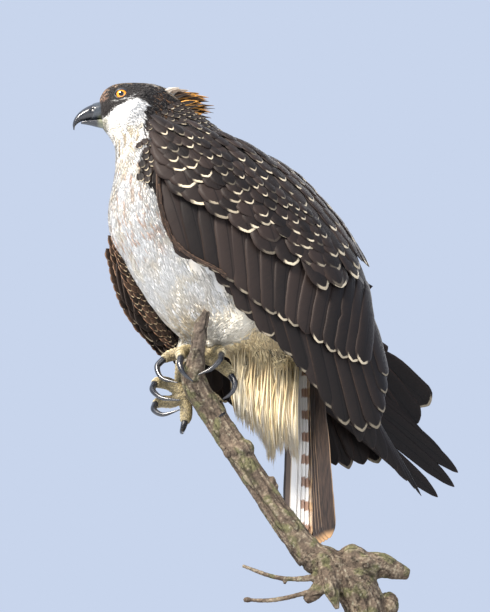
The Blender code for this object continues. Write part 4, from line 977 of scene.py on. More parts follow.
def body_grid(rows, columns, sunk):
    """Rings of the body at places along its stations, with the forms of the head, and those places."""
    places = np.linspace(0.0, LAST_SECTION, rows)
    angles = np.linspace(0.0, 2.0 * math.pi, columns, endpoint=False)
    depths = np.interp(places, *zip(*SKIN_DEPTH)) if sunk else np.zeros(rows)
    grid = np.stack([body_surface([p], angles, d)[0] for p, d in zip(places, depths)])
    head = turn_head(grid, -1.0)
    for centre, spread, amount in HEAD_FORMS:
        head = bulge(head, centre, spread, amount)
    share = smooth_step(places, 5.0, 7.0)[:, None, None]
    return (1.0 - share) * turn_head(head) + share * grid, places


def plume_grid(steps, sides, depth=0.0):
    table = np.array(PLUME)
    z = np.linspace(PLUME[0][0], PLUME[-1][0], steps)[:, None]
    front, back, width = (np.interp(z, table[::-1, 0], table[::-1, c]) for c in (1, 2, 3))
    turns = np.linspace(0.0, 2.0 * math.pi, sides, endpoint=False)
    middle, reach = 0.5 * (front + back), 0.5 * (back - front) - depth
    return np.stack((middle + reach * np.cos(turns), (width - depth) * np.sin(turns),
                     np.repeat(z, sides, axis=1)), axis=-1)


FOLD_SIZE = np.array((9.5, 9.5, 46.0))
FOLD_DEPTH = 1.9


def fold_share(points):
    """From -0.5 to 0.5 over the soft lengthwise folds of breast and belly, fading out on the head."""
    return (patchy(points / FOLD_SIZE, 1.0, 44.0) - 0.5) * 1.6 * smooth_step(points[:, 2], 612.0, 570.0)


def make_skin():
    grids = [body_grid(120, 96, True)[0], plume_grid(20, 32, 3.0)]
    for points, radii in THIGHS.values():
        grids.append(tube_grid(points, np.array(radii) - THIGH_DEPTH, 24, 28))
    skin = remesh(tubes_mesh("skin", grids), SKIN_VOXEL, 3)
    places, normals = vertex_places(skin), vertex_normals(skin)
    folds = FOLD_DEPTH * METRES * fold_share(stand_to_bird(places / METRES))
    set_places(skin, places + normals * folds[:, None])
    return skin


def point_tree(points):
    tree = KDTree(len(points))
    for i, place in enumerate(points):
        tree.insert(place, i)
    tree.balance()
    return tree


def nearest_in(tree, points):
    """Numbers of the nearest points of a tree."""
    return np.array([tree.find(p)[1] for p in points])


# Parts of the skin and their patches on its unwrap: left, low, width, height
BODY, THIGH, PLUME_PART = 0, 1, 2
BODY_PATCH = (0.0, 0.0, 1.0, 0.7)
THIGH_PATCHES = ((0.0, 0.72, 0.3, 0.26), (0.34, 0.72, 0.3, 0.26))
PLUME_PATCH = (0.68, 0.72, 0.3, 0.26)


class Flow:
    """Where feathers on the skin point, and each place's spot on the skin's unwrap, its part and station."""

    def __init__(self):
        self.places, self.flows, self.unwraps, self.kinds = [], [], [], []
        self.keep(*body_grid(110, 72, False), BODY_PATCH, BODY)
        for (points, radii), patch in zip(THIGHS.values(), THIGH_PATCHES):
            self.keep(tube_grid(points, radii, 24, 28), np.linspace(0, 1, 24), patch, THIGH)
        self.keep(plume_grid(24, 32), np.linspace(0, 1, 24), PLUME_PATCH, PLUME_PART)
        self.flows, self.unwraps, self.kinds = (np.vstack(v) for v in (self.flows, self.unwraps, self.kinds))
        self.tree = point_tree(np.vstack(self.places))

    def keep(self, grid, stations, patch, kind):
        rows, columns = grid.shape[:2]
        u, v, du, dv = patch
        i, r = np.meshgrid(np.linspace(0.0, 1.0, columns), np.linspace(0.0, 1.0, rows))
        kinds = np.stack((np.full(rows, kind), stations), axis=-1)
        self.places.append(grid.reshape(-1, 3))
        self.flows.append(unit(np.gradient(grid, axis=0)).reshape(-1, 3))
        self.unwraps.append(np.stack((u + du * i, v + dv * r), axis=-1).reshape(-1, 2))
        self.kinds.append(np.repeat(kinds, columns, axis=0))

    def at(self, points):
        found = nearest_in(self.tree, points)
        return self.flows[found], self.unwraps[found], self.kinds[found]


# Markings: colours of the plumage at places in the bird's frame

WHITE = np.array((0.87, 0.86, 0.83))
# Painted shade for the valleys of the soft folds of breast and belly
FOLD_SHADE = np.array((0.62, 0.56, 0.46))
CREAM = np.array((0.82, 0.72, 0.52))
BUFF = np.array((0.62, 0.40, 0.14))
GOLD = np.array((0.70, 0.50, 0.20))
RUFOUS = np.array((0.42, 0.20, 0.08))
DARK = np.array((0.011, 0.0078, 0.0070))
BROWN = np.array((0.075, 0.043, 0.028))
GAPE_FEATHERS = np.array((0.22, 0.20, 0.12))


def blend(colours, other, share):
    share = np.asarray(share)[:, None]
    return colours * (1.0 - share) + other * share


def patchy(points, size, seed=0.0):
    """Smooth noise from 0 to 1 at places, with spots of about a size."""
    places = np.asarray(points) / size + (seed, 0.0, 0.0)
    return np.array([0.5 + 0.5 * noise.noise(Vector(p)) for p in places])


def above(x, z, line):
    """How far above a line of points (x, z) places are, in millimetres."""
    return z - np.interp(x, *zip(*line))


# Lines on the side of the head (x, z) in its own frame
BAND_LOW = (
    (-166.0, 616.5), (-153.0, 616.5), (-143.0, 624.5), (-128.0, 631.5), (-114.0, 629.0),
    (-112.5, 617.0), (-112.0, 600.0), (-116.0, 592.0), (-122.0, 583.0), (-108.0, 575.0),
)
EYE_STREAK = ((-150.5, 632.0), (-143.0, 631.2), (-132.0, 633.2), (-121.0, 641.0))
CROWN_LOW = (
    (-158.0, 634.0), (-150.0, 644.0), (-140.0, 651.0), (-122.0, 652.0), (-105.0, 647.0), (-85.0, 640.0),
)


def head_colours(points):
    """Colours of head feathers at places in the head's own frame."""
    x, side, z = points[:, 0], np.abs(points[:, 1]), points[:, 2]
    fine = patchy(points * (1.0, 1.0, 1.6), 3.2)
    broad = patchy(points, 9.0, 5.0)
    colours = np.tile(WHITE, (len(points), 1))
    streak = patchy(points * (1.0, 1.0, 0.25), 3.4, 27.0)
    throat = smooth_step(z, 612.0, 598.0) * smooth_step(streak, 0.46, 0.62)
    colours = blend(colours, CREAM * (0.8, 0.72, 0.55), 0.7 * throat)
    streaked = smooth_step(z, 604.0, 592.0) * smooth_step(streak, 0.62, 0.7)
    colours = blend(colours, BROWN * 2.4, 0.5 * streaked)
    band = smooth_step(above(x, z, BAND_LOW) + 5.0 * (fine - 0.5), -1.0, 1.6)
    colours = blend(colours, DARK, band)
    rufous = band * smooth_step(x, -112.0, -96.0) * smooth_step(z, 600.0, 612.0)
    rufous = rufous * smooth_step(fine, 0.56, 0.7)
    colours = blend(colours, RUFOUS * 0.7, 0.6 * rufous)
    crown = smooth_step(above(x, z, CROWN_LOW) + 3.0 * (fine - 0.5), 1.0, 4.0)
    cap = np.tile(DARK * 1.3, (len(points), 1))
    cap = blend(cap, CREAM * (0.62, 0.5, 0.42), smooth_step(fine, 0.56, 0.72))
    colours = blend(colours, cap, crown)
    pale = smooth_step(x, -116.0, -104.0) * smooth_step(side, 26.0, 20.0) * smooth_step(broad, 0.36, 0.55)
    colours = blend(colours, WHITE * (0.72, 0.68, 0.62), crown * pale)
    brow = smooth_step(x, -152.5, -156.0) * smooth_step(z, 631.0, 637.0) * smooth_step(fine, 0.45, 0.62)
    colours = blend(colours, CREAM * (0.62, 0.42, 0.40), 0.6 * brow)
    high = smooth_step(x, -140.0, -152.0) * smooth_step(z, 646.0, 650.0) * smooth_step(fine, 0.5, 0.62)
    colours = blend(colours, CREAM * (0.62, 0.42, 0.42), 0.35 * high)
    streak = smooth_step(np.abs(above(x, z, EYE_STREAK)), 1.3, 0.5)
    streak *= smooth_step(x, -152.0, -149.0) * smooth_step(x, -120.0, -124.0)
    colours = blend(colours, WHITE * 0.55, 0.85 * streak * smooth_step(fine, 0.32, 0.5))
    gape = smooth_step(x, -150.5, -154.5) * smooth_step(z, 617.0, 614.0)
    return blend(colours, GAPE_FEATHERS, 0.8 * gape)


def body_colours(points):
    """Colours of neck, breast, belly, back and flank feathers at places in the bird's frame."""
    x, z = points[:, 0], points[:, 2]
    streak = patchy(points * (1.0, 1.0, 0.32), 4.2, 3.0)
    blotch = patchy(points, 16.0, 8.0)
    thin = patchy(points * (1.0, 1.0, 0.2), 3.3, 63.0)
    colours = np.tile(WHITE, (len(points), 1))
    breast = smooth_step(x, -98.0, -118.0) * smooth_step(z, 446.0, 470.0) * smooth_step(z, 606.0, 588.0)
    colours = blend(colours, RUFOUS * (1.35, 1.4, 1.5), 0.6 * breast * smooth_step(thin, 0.6, 0.68))
    creamy = smooth_step(blotch, 0.5, 0.7) * smooth_step(z, 600.0, 560.0)
    colours = blend(colours, CREAM * (1.0, 0.97, 0.9), 0.4 * creamy)
    # Painted shade: the valleys of the folds are darkened towards FOLD_SHADE
    colours = blend(colours, FOLD_SHADE, 0.45 * smooth_step(fold_share(points), -0.05, -0.3))
    low = smooth_step(z, 430.0, 392.0) * smooth_step(streak, 0.4, 0.6)
    colours = blend(colours, CREAM * (0.9, 0.82, 0.66), 0.7 * low)
    return blend(colours, DARK * 1.2, smooth_step(mantle_share(points) + 5.0 * (streak - 0.5), -1.0, 3.0))


def plume_colours(points):
    z = points[:, 2]
    streak = patchy(points * (1.0, 1.0, 0.15), 7.0, 20.0)
    colours = np.tile(CREAM * (0.98, 0.9, 0.7), (len(points), 1))
    # Painted light: the plume's upper part, in the wing's shade, is made paler and less golden
    high = smooth_step(z, 318.0, 345.0)
    colours = blend(colours, GOLD, (0.6 - 0.25 * high) * smooth_step(streak, 0.42, 0.66))
    streaked = smooth_step(streak, 0.6, 0.75) * smooth_step(z, 250.0, 330.0)
    colours = blend(colours, BUFF, (0.3 - 0.15 * high) * streaked)
    colours = blend(colours, CREAM * (1.1, 1.02, 0.85), 0.4 * high)
    return blend(colours, WHITE, 0.6 * smooth_step(streak, 0.42, 0.3) * smooth_step(z, 335.0, 300.0))


def coat_colours(points, kinds):
    """The markings of skin and coat, by part, and by station from head to body."""
    part, station = kinds.T
    body = blend(head_colours(turn_head(points, -1.0)), body_colours(points),
                 np.where(part == BODY, smooth_step(station, 5.6, 7.2), 1.0))
    plume = plume_colours(points)
    thigh = np.tile(WHITE * (0.95, 0.92, 0.84), (len(points), 1))
    thigh = blend(thigh, CREAM, patchy(points, 7.0, 9.0) * 0.6)
    low = smooth_step(points[:, 2], 396.0, 378.0) * smooth_step(points[:, 0], -45.0, -18.0)
    body = blend(body, plume, low * (part == BODY))
    part = part[:, None]
    return np.where(part == THIGH, thigh, np.where(part == PLUME_PART, plume, body))


# Tufts

# Tips of the plume's locks (x, z) as seen at one side distance, and how they shift with that distance
LOCK_TIPS = (
    (-9.0, 291.0), (-4.0, 287.0), (2.0, 282.5), (7.5, 279.0), (12.0, 277.0), (17.5, 270.0), (22.0, 259.0),
    (26.0, 250.0), (29.5, 248.0), (33.5, 261.0), (39.0, 259.0), (44.5, 263.0), (51.0, 258.5), (56.5, 250.0),
)
LOCK_SIDES = (-24.0, -16.0, -8.0, 2.0, 12.0)
LOCK_LEAN = (0.35, 0.22)
# The side distance at which the locks' tips are as listed
LOCK_MIDDLE = -20.0
LOCK_TUFTS = 26
LOCK_TOP = 346.0
LOCK_LENGTHS = (0.0, 9.0)
LOCK_FEET = ((-9.0, 56.0), (-6.0, 52.0))
LOCK_ROOT_SPREAD = (4.2, 3.6, 13.0)
LOCK_TIP_SPREAD = (1.3, 1.3, 3.5)
LOCK_WIDTHS = (1.8, 3.0)
LOCK_BOW = np.array((-2.4, -1.2, 0.0))
# Stations of a tuft's rings, its share of the width there and at the tip, and its faces
TUFT_STATIONS = (0.0, 0.5)
TUFT_SHARES = (0.8, 1.0)
TUFT_FACES = (
    (0, 1, 4), (0, 4, 3), (1, 2, 5), (1, 5, 4), (2, 0, 3), (2, 3, 5), (3, 4, 6), (4, 5, 6), (5, 3, 6),
    (2, 1, 0),
)
# Painted shade along each tuft: its root ring a little darker and its tip a little lighter
TUFT_PAINTED_SHADE = (0.97, 0.97, 0.97, 1.0, 1.0, 1.0, 1.01)
TUFT_PATCH = 0.003
TUFT_KEEL = 0.03
SCATTER_TRIES = 2.6
CELL_KEYS = np.array((73856093, 19349663, 83492791))
TUFT_STRAY = 0.03
BRIGHTEST = 0.95
# Painted shade: the skin under the tufts is a little darker than the coat's colours
SKIN_PAINTED_SHADE = 0.92
# Where loose feathers hang straight down
HANG = np.array((0.2, 0.0, -0.98))
HANG_PULL = 3.0
# How far over the skin the wings are looked for, to leave out what they hide
COVER_START = 2.0
COVER_REACH = 26.0
FACE_END = 3.6
HEAD_END = 6.0
NECK_END = 9.0
# Coat pieces: spacing, length, width, rise, sink, curl
COATS = {
    "coat_face": (1.05, 4.6, 1.0, 0.35, 0.25, 0.0),
    "coat_crown": (1.35, 8.5, 1.4, 0.6, 0.4, 0.2),
    "coat_neck": (1.55, 13.0, 2.1, 0.45, 0.35, 0.1),
    "coat_belly": (1.75, 17.0, 2.5, 0.42, 0.4, 0.12),
    "coat_thighs": (1.8, 14.0, 2.4, 0.45, 0.4, 0.12),
    "coat_plume": (1.7, 36.0, 2.0, 1.4, 0.8, 1.6),
}


def bird_triangles(obj):
    """A mesh's places, in millimetres of the bird's frame, and its triangles."""
    mesh = obj.data
    mesh.calc_loop_triangles()
    triangles = np.zeros(len(mesh.loop_triangles) * 3, np.int32)
    mesh.loop_triangles.foreach_get("vertices", triangles)
    return stand_to_bird(vertex_places(obj) / METRES), triangles.reshape(-1, 3)


def surface_tree(places, triangles):
    return BVHTree.FromPolygons([Vector(p) for p in places], triangles.tolist())


def scatter(places, triangles, spacing):
    """Places spread evenly over triangles, at most one in each cell of a grid of the spacing."""
    corners = places[triangles]
    normals = np.cross(corners[:, 1] - corners[:, 0], corners[:, 2] - corners[:, 0])
    areas = 0.5 * np.linalg.norm(normals, axis=-1)
    number = int(areas.sum() / spacing ** 2 * SCATTER_TRIES)
    chosen = RANDOM.choice(len(triangles), number, p=areas / areas.sum())
    r, s = np.sqrt(RANDOM.random(number)), RANDOM.random(number)
    a, b, c = corners[chosen].transpose(1, 0, 2)
    points = (1.0 - r)[:, None] * a + (r * (1.0 - s))[:, None] * b + (r * s)[:, None] * c
    cells = np.floor(points / spacing).astype(np.int64)
    keys = np.bitwise_xor.reduce(cells * CELL_KEYS, axis=1)
    _, first = np.unique(keys, return_index=True)
    return points[np.sort(first)]


def make_tufts(name, rings, tips, colours, unwraps, tip_colours=None):
    """A coat piece from rings of three points at each station and the tips of its tufts."""
    number = len(tips)
    points = np.concatenate(rings + [tips[:, None, :]], axis=1)
    stride = points.shape[1]
    faces = (np.array(TUFT_FACES) + stride * np.arange(number)[:, None, None]).reshape(-1, 3)
    obj = build_mesh(name, points, [faces])
    # A random tone for each tuft, times the painted shade from its root to its tip
    shade = RANDOM.uniform(0.965, 1.03, number)[:, None, None] * np.array(TUFT_PAINTED_SHADE)[None, :, None]
    per_point = np.repeat(colours[:, None, :], stride, axis=1)
    if tip_colours is not None:
        per_point[:, -1] = tip_colours
        per_point[:, -4:-1] = 0.6 * per_point[:, -4:-1] + 0.4 * tip_colours[:, None]
    add_colour(obj, "coat", np.clip(per_point * shade, 0.0, BRIGHTEST).reshape(-1, 3))
    spots = np.array([(j, t) for t in TUFT_STATIONS for j in (0.0, 0.5, 1.0)] + [(0.5, 1.0)]) * TUFT_PATCH
    add_uv(obj, "OFBake", (unwraps[:, None, :] + spots).reshape(-1, 2)[faces.ravel()])
    return finish_piece(obj, plumage)


def nearest_on(surface, points):
    """Nearest places of a surface and its normals there."""
    hits = [surface.find_nearest(Vector(p)) for p in points]
    return np.array([h[0] for h in hits]), np.array([h[1] for h in hits])


def step_on(surface, points, directions, steps):
    """Moves points along a surface: their new places, the normals there, and their directions along it."""
    points, normals = nearest_on(surface, points + directions * steps[:, None])
    return points, normals, unit(directions - normals * np.sum(directions * normals, axis=1, keepdims=True))


def lay_tufts(name, roots, flows, unwraps, colours, surface, length, width, rise, sink, curl):
    """Thin pointed tufts that follow the surface from each root; they rise and curl away towards the tip."""
    number = len(roots)
    length = length * RANDOM.uniform(0.75, 1.15, number)
    width = width * RANDOM.uniform(0.75, 1.2, number)
    direction = unit(flows + RANDOM.normal(0.0, TUFT_STRAY, (number, 3)))
    lift = RANDOM.uniform(0.75, 1.2, number)
    rings, point, previous = [], roots, 0.0
    for t, share in zip((*TUFT_STATIONS, 1.0), (*TUFT_SHARES, 0.0)):
        point, normal, direction = step_on(surface, point, direction, length * (t - previous))
        previous = t
        centre = point + normal * (-sink + (sink + rise * lift) * t + curl * lift * t ** 2)[:, None]
        across = unit(np.cross(normal, direction)) * (0.5 * width * share)[:, None]
        ridge = centre + normal * (TUFT_KEEL * width)[:, None]
        rings.append(np.stack((centre - across, ridge, centre + across), axis=1))
    return make_tufts(name, rings[:-1], centre, colours, unwraps)


def lay_locks(name):
    """Long pointed locks that hang from the plume's lower end."""
    starts, tips = [], []
    for x, z in LOCK_TIPS:
        for lateral in LOCK_SIDES:
            away = lateral - LOCK_MIDDLE
            height = z + LOCK_LEAN[1] * away + RANDOM.uniform(*LOCK_LENGTHS)
            tip = np.array((x + LOCK_LEAN[0] * away, lateral, height))
            root = np.array((np.interp(tip[0], *LOCK_FEET), lateral * 0.95, LOCK_TOP))
            for ends, end, spread in ((starts, root, LOCK_ROOT_SPREAD), (tips, tip, LOCK_TIP_SPREAD)):
                ends.append(end + RANDOM.normal(0.0, 1.0, (LOCK_TUFTS, 3)) * spread)
    starts, tips = np.vstack(starts), np.vstack(tips)
    number = len(starts)
    along = unit(tips - starts)
    side = unit(np.cross(along, unit(RANDOM.normal(0.0, 1.0, (number, 3)) + (0.0, -2.0, 0.0))))
    out = np.cross(side, along)
    width = RANDOM.uniform(*LOCK_WIDTHS, number)[:, None]
    rings = []
    for t, share in zip(TUFT_STATIONS, TUFT_SHARES):
        centre = starts + t * (tips - starts) + LOCK_BOW * 4.0 * t * (1.0 - t)
        half = 0.5 * share * width * side
        rings.append(np.stack((centre - half, centre + 0.3 * width * out, centre + half), axis=1))
    colours = 0.75 * plume_colours(0.5 * (starts + tips)) + 0.25 * CREAM
    pale = blend(colours, WHITE, 0.6 * smooth_step(patchy(tips, 9.0, 71.0), 0.4, 0.6))
    unwraps = np.stack((0.7 + 0.24 * RANDOM.random(number), 0.93 + 0.04 * RANDOM.random(number)), axis=-1)
    return make_tufts(name, rings, tips, colours, unwraps, pale)


def wing_trees():
    """The wings' own solids, to leave out what they hide."""
    return [surface_tree(*bird_triangles(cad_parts[f"wing_{name}_{part}"]))
            for name in SIDES for part in ("coverts", "secondaries")]


def covered(points, normals, trees):
    starts = points + COVER_START * normals
    return np.array([any(tree.ray_cast(Vector(p), Vector(n), COVER_REACH)[0] for tree in trees)
                     for p, n in zip(starts, normals)])


def make_coat(skin, trees):
    """Colours the skin and lays the coat over it."""
    places, triangles = bird_triangles(skin)
    surface = surface_tree(places, triangles)
    flow = Flow()
    # The skin takes the coat's markings, darkened by painted shade under the tufts
    add_colour(skin, "coat", coat_colours(places, flow.at(places)[2]) * SKIN_PAINTED_SHADE)
    centres = places[triangles].mean(axis=1)
    part, station = flow.at(centres)[2].T
    on_body = part == BODY
    head = on_body & (station < HEAD_END)
    masks = {
        "coat_face": head & (station < FACE_END),
        "coat_crown": head & (station >= FACE_END),
        "coat_neck": on_body & (station >= HEAD_END) & (station < NECK_END),
        "coat_thighs": part == THIGH,
        "coat_plume": (part == PLUME_PART) & (centres[:, 2] < PLUME_TOP),
    }
    masks["coat_belly"] = ~np.any(list(masks.values()), axis=0)
    for name, (spacing, *sizes) in COATS.items():
        roots = scatter(places, triangles[masks[name]], spacing)
        _, normals = nearest_on(surface, roots)
        roots = roots[~covered(roots, normals, trees)]
        flows, unwraps, kinds = flow.at(roots)
        hang = smooth_step(roots[:, 2], 412.0, 384.0) * smooth_step(roots[:, 0], -48.0, -28.0)
        hang *= HANG_PULL * (kinds[:, 0] != THIGH)
        flows = unit(flows + hang[:, None] * HANG)
        lay_tufts(name, roots, flows, unwraps, coat_colours(roots, kinds), surface, *sizes)
    lay_locks("coat_locks")
    return surface, flow


# Mantle: small dark feathers over the neck's side, the shoulders and the back

# How far forward the dark feathers reach: height, x
MANTLE_FRONT = (
    (505.0, -96.0), (517.0, -101.0), (523.0, -116.0), (531.0, -122.5), (545.0, -128.5), (561.0, -128.0),
    (575.0, -126.0), (585.0, -120.0), (592.0, -114.5), (600.0, -112.0), (612.0, -116.0),
    (640.0, -110.0),
)
MANTLE_ROWS = (5.6, 16.5, 0.3)
# Stations, and there the feathers' lengths, widths and number in a row
MANTLE_STATIONS = (5.6, 8.0, 12.0, 16.5)
MANTLE_SIZES = ((11.0, 15.0, 24.0, 34.0), (7.5, 9.5, 14.0, 19.0), (34, 42, 40, 26))
MANTLE_HEIGHTS = (-0.8, 1.7)


def mantle_share(points):
    """How far behind the mantle's front edge places are, in millimetres."""
    front = points[:, 0] - np.interp(points[:, 2], *zip(*MANTLE_FRONT))
    rear = 0.5 * (points[:, 0] + 0.8 * (points[:, 2] - 440.0) - 78.0)
    return np.maximum(np.minimum(front, 2.0 * (points[:, 2] - 507.0)), rear)


def add_skin_vanes(vanes, form, roots, flows, surface, length, width, heights, marks):
    """Feathers of a form that follow the surface from each root."""
    form = VANE_FORMS[form]
    t, outline, j, lie = vane_shape(form)
    point, previous, tops = roots, 0.0, []
    direction = unit(flows + RANDOM.normal(0.0, 0.06, (len(roots), 3)))
    for station, share, rise in zip(t, outline, np.interp(t, (0.0, 1.0), heights)):
        point, normal, direction = step_on(surface, point, direction, length * (station - previous))
        previous = station
        offset = 0.5 * share * width[:, None] * j
        lift = rise + form.camber * (1.0 - j ** 2) * share
        across = unit(np.cross(normal, direction))
        tops.append(point[:, None] + offset[..., None] * across[:, None] + lift[:, None] * normal[:, None])
    top = np.stack(tops, axis=1)
    vanes.add(top, top - VANE_THICKNESS * normal[:, None, None], lie, marks)


def make_mantle(surface, flow, trees, look):
    """Rows of dark feathers round the body behind the mantle's front edge, where no wing hides them."""
    vanes = Vanes("mantle_feathers")
    for row, station in enumerate(np.arange(*MANTLE_ROWS)):
        length, width, number = (np.interp(station, MANTLE_STATIONS, sizes) for sizes in MANTLE_SIZES)
        number = int(number)
        places = np.arange(number) + 0.5 * (row % 2) + RANDOM.uniform(-0.2, 0.2, number)
        roots = body_surface([station], 2.0 * math.pi * places / number)[0]
        roots = roots[mantle_share(turn_head(roots, -1.0) if station < 6.5 else roots) > 1.0]
        roots, normals = nearest_on(surface, roots)
        roots = roots[~covered(roots, normals, trees)]
        count = len(roots)
        if not count:
            continue
        marks = marks_for(count, 0.75, 0.3, (0.0, 0.8))
        marks[:, 0] *= RANDOM.uniform(0.3, 1.0, count)
        length, width = (size * RANDOM.uniform(0.9, 1.1, count) for size in (length, width))
        flows, _, _ = flow.at(roots)
        add_skin_vanes(vanes, "mantle", roots, flows, surface, length, width, MANTLE_HEIGHTS, marks)
    return finish_piece(vanes.make(), look)


# Eyes

IRIS_ANGLE = math.radians(43.0)
PUPIL_ANGLE = math.radians(20.0)
GAZE = (-0.16, 0.98, -0.10)
# How far the cornea stands out, as a share of the eye's radius
CORNEA = 0.03
EYE_RINGS = 36
EYE_SIDES = 48


def eye_frame(side):
    """An eye's centre, the direction it looks in, and the directions across and up."""
    centre = turn_head(np.array((EYE_CENTRE[0], side * EYE_CENTRE[1], EYE_CENTRE[2])))
    axis = np.array((NECK_AXIS_X, 0.0, 0.0))
    gaze = unit(turn_head(axis + (GAZE[0], side * GAZE[1], GAZE[2])) - axis)
    across = unit(np.cross((0.0, 0.0, 1.0), gaze))
    return centre, gaze, across, np.cross(gaze, across)


def eye_look():
    look = Look("eye", 0.06, Coat_Weight=1.0, Coat_Roughness=0.02)
    ring, turn = look.uv("iris")
    rays = look.noise(look.vector(look.times(ring, 3.0), look.times(turn, 60.0)), 1.0)
    amber = look.mix(look.ramp(rays, 0.3, 0.7), (0.55, 0.13, 0.002), (0.88, 0.33, 0.003))
    amber = look.mix(look.ramp(ring, PUPIL_ANGLE, PUPIL_ANGLE + 0.2, 0.4, 0.0), amber, (0.92, 0.40, 0.02))
    amber = look.mix(look.ramp(ring, IRIS_ANGLE - 0.16, IRIS_ANGLE, 0.0, 1.0), amber, (0.10, 0.03, 0.006))
    colour = look.mix(look.ramp(ring, PUPIL_ANGLE - 0.02, PUPIL_ANGLE + 0.03), (0.002, 0.002, 0.002), amber)
    colour = look.mix(look.ramp(ring, IRIS_ANGLE - 0.02, IRIS_ANGLE + 0.04), colour, (0.012, 0.009, 0.008))
    look.colour(colour)
    return look.material


def make_eye(name, side, material):
    """An eyeball with a raised cornea, and the angle from its axis kept for the iris."""
    centre, gaze, across, up = eye_frame(side)
    sides = EYE_SIDES
    polar = math.pi * (np.linspace(0.0, 1.0, EYE_RINGS + 1) ** 1.25)[1:-1]
    turns = np.linspace(0.0, 2.0 * math.pi, sides, endpoint=False)
    points = [centre + gaze * EYE_RADIUS * (1.0 + CORNEA)]
    radial = np.cos(turns)[:, None] * across + np.sin(turns)[:, None] * up
    for angle in polar:
        radius = EYE_RADIUS * (1.0 + CORNEA * math.cos(min(2.0 * angle, math.pi)))
        points.extend(centre + radius * (math.cos(angle) * gaze + math.sin(angle) * radial))
    points.append(centre - gaze * EYE_RADIUS)
    points = np.array(points)
    ring = 1 + np.arange(sides)
    ahead = np.roll(ring, -1)
    starts = sides * np.arange(len(polar) - 1)[:, None]
    quads = np.stack((starts + ring, starts + sides + ring, starts + sides + ahead, starts + ahead), axis=-1)
    quads, last = quads.reshape(-1, 4), sides * (len(polar) - 1)
    fans = np.vstack((np.stack((np.zeros(sides, int), ring, ahead), axis=-1),
                      np.stack((last + ring, np.full(sides, len(points) - 1), last + ahead), axis=-1)))
    obj = build_mesh(f"{name}_detail", points, [quads, fans])
    toward = unit(points - centre)
    angles = np.arccos(np.clip(toward @ gaze, -1.0, 1.0))
    around = np.arctan2(toward @ up, toward @ across) / (2.0 * math.pi)
    corners = np.concatenate((quads.ravel(), fans.ravel()))
    add_uv(obj, "iris", np.stack((angles, around), axis=-1)[corners])
    return finish_piece(obj, material, [name])


# Crest

# Feathers from the crown down the nape: roots and tips (x, z) in the middle plane
CREST = (
    ((-100.0, 651.5), (-71.7, 658.0)),
    ((-93.0, 648.5), (-60.0, 656.5)),
    ((-88.0, 646.0), (-46.1, 653.0)),
    ((-86.0, 645.5), (-40.0, 648.5)),
    ((-80.0, 634.0), (-31.0, 640.5)),
    ((-77.0, 627.0), (-33.5, 631.0)),
    ((-74.0, 619.0), (-42.6, 619.7)),
)
# Rows of them: distance from the middle plane, share of the length
CREST_ROWS = (
    (0.0, 1.0), (7.0, 0.94), (-7.0, 0.96), (13.0, 0.86), (-13.0, 0.9), (18.0, 0.74), (-18.0, 0.78),
    (3.5, 0.8), (-3.5, 0.84), (22.0, 0.6), (-22.0, 0.62),
)
CREST_COUNT = 11
CREST_PALE = 3
CREST_SPREAD = (0.8, 1.15)
CREST_WIDTHS = (4.2, 6.4)
CREST_RISE = 2.2
# How far the head's round top falls with the square of that distance
CREST_DROP = 0.017


def add_free_vanes(vanes, form, roots, tips, across, width, marks, bow):
    """Feathers of a form in open air from roots to tips, with directions across them and their bow."""
    form = VANE_FORMS[form]
    along = unit(tips - roots)
    across = unit(across - along * np.sum(across * along, axis=1, keepdims=True))[:, None, None]
    normal = np.cross(along[:, None, None], across)
    t, outline, j, lie = vane_shape(form)
    jitter = 1.0 + RANDOM.normal(0.0, 0.03, (len(roots), len(t), form.columns))
    half = 0.5 * np.broadcast_to(width, (len(roots),))
    offset = half[:, None, None] * outline[:, None] * j * jitter
    centre = roots[:, None] + t[:, None] * (tips - roots)[:, None]
    centre = centre + (4.0 * t * (1.0 - t))[:, None] * bow[:, None]
    lift = form.camber * (1.0 - j ** 2) * outline[:, None]
    middle = centre[:, :, None] + offset[..., None] * across + lift[..., None] * normal
    shift = 0.5 * VANE_THICKNESS * normal
    vanes.add(middle + shift, middle - shift, lie, marks)


def make_crest(look, pale_look):
    """Loose feathers of nape and crown, with the foremost ones pale."""
    vanes, pale = Vanes("crest_feathers"), Vanes("crest_pale")
    rows = np.array([(*root, *tip) for root, tip in CREST])
    count = CREST_COUNT
    for shift, length in CREST_ROWS:
        places = (np.arange(count) + RANDOM.uniform(0.1, 0.9, count)) / count
        root_x, root_z, tip_x, tip_z = smooth_line(rows, places).T
        stretch = length * RANDOM.uniform(0.82, 1.02, count)
        drop = CREST_DROP * shift ** 2
        root = turn_head(np.stack((root_x, np.full(count, CREST_SPREAD[0] * shift), root_z - drop), axis=-1))
        tip = turn_head(np.stack((root_x + stretch * (tip_x - root_x),
                                  CREST_SPREAD[1] * shift + RANDOM.normal(0.0, 1.5, count),
                                  root_z - 0.6 * drop + stretch * (tip_z - root_z)), axis=-1))
        turn = np.radians(np.clip(4.2 * abs(shift), 12.0, 78.0) + RANDOM.uniform(-12.0, 12.0, count))
        turn = turn * (1.0 if shift >= 0 else -1.0)
        flat = unit(np.cross(unit(tip - root), (0.0, 1.0, 0.0)))
        across = np.cos(turn)[:, None] * np.array((0.0, 1.0, 0.0)) + np.sin(turn)[:, None] * flat
        bow = RANDOM.normal(0.0, 0.8, (count, 3)) + (0.0, 0.0, CREST_RISE)
        marks = marks_for(count, 0.0, 1.0, (0.0, 0.8))
        marks[:, 1] = RANDOM.choice((0.1, 0.5, 1.0), count)
        width = RANDOM.uniform(*CREST_WIDTHS, count)
        for piece, part in ((pale, slice(0, CREST_PALE)), (vanes, slice(CREST_PALE, None))):
            chosen = [values[part] for values in (root, tip, across, width, marks, bow)]
            add_free_vanes(piece, "crest", *chosen)
    finish_piece(pale.make(), pale_look)
    return finish_piece(vanes.make(), look)


# Tail

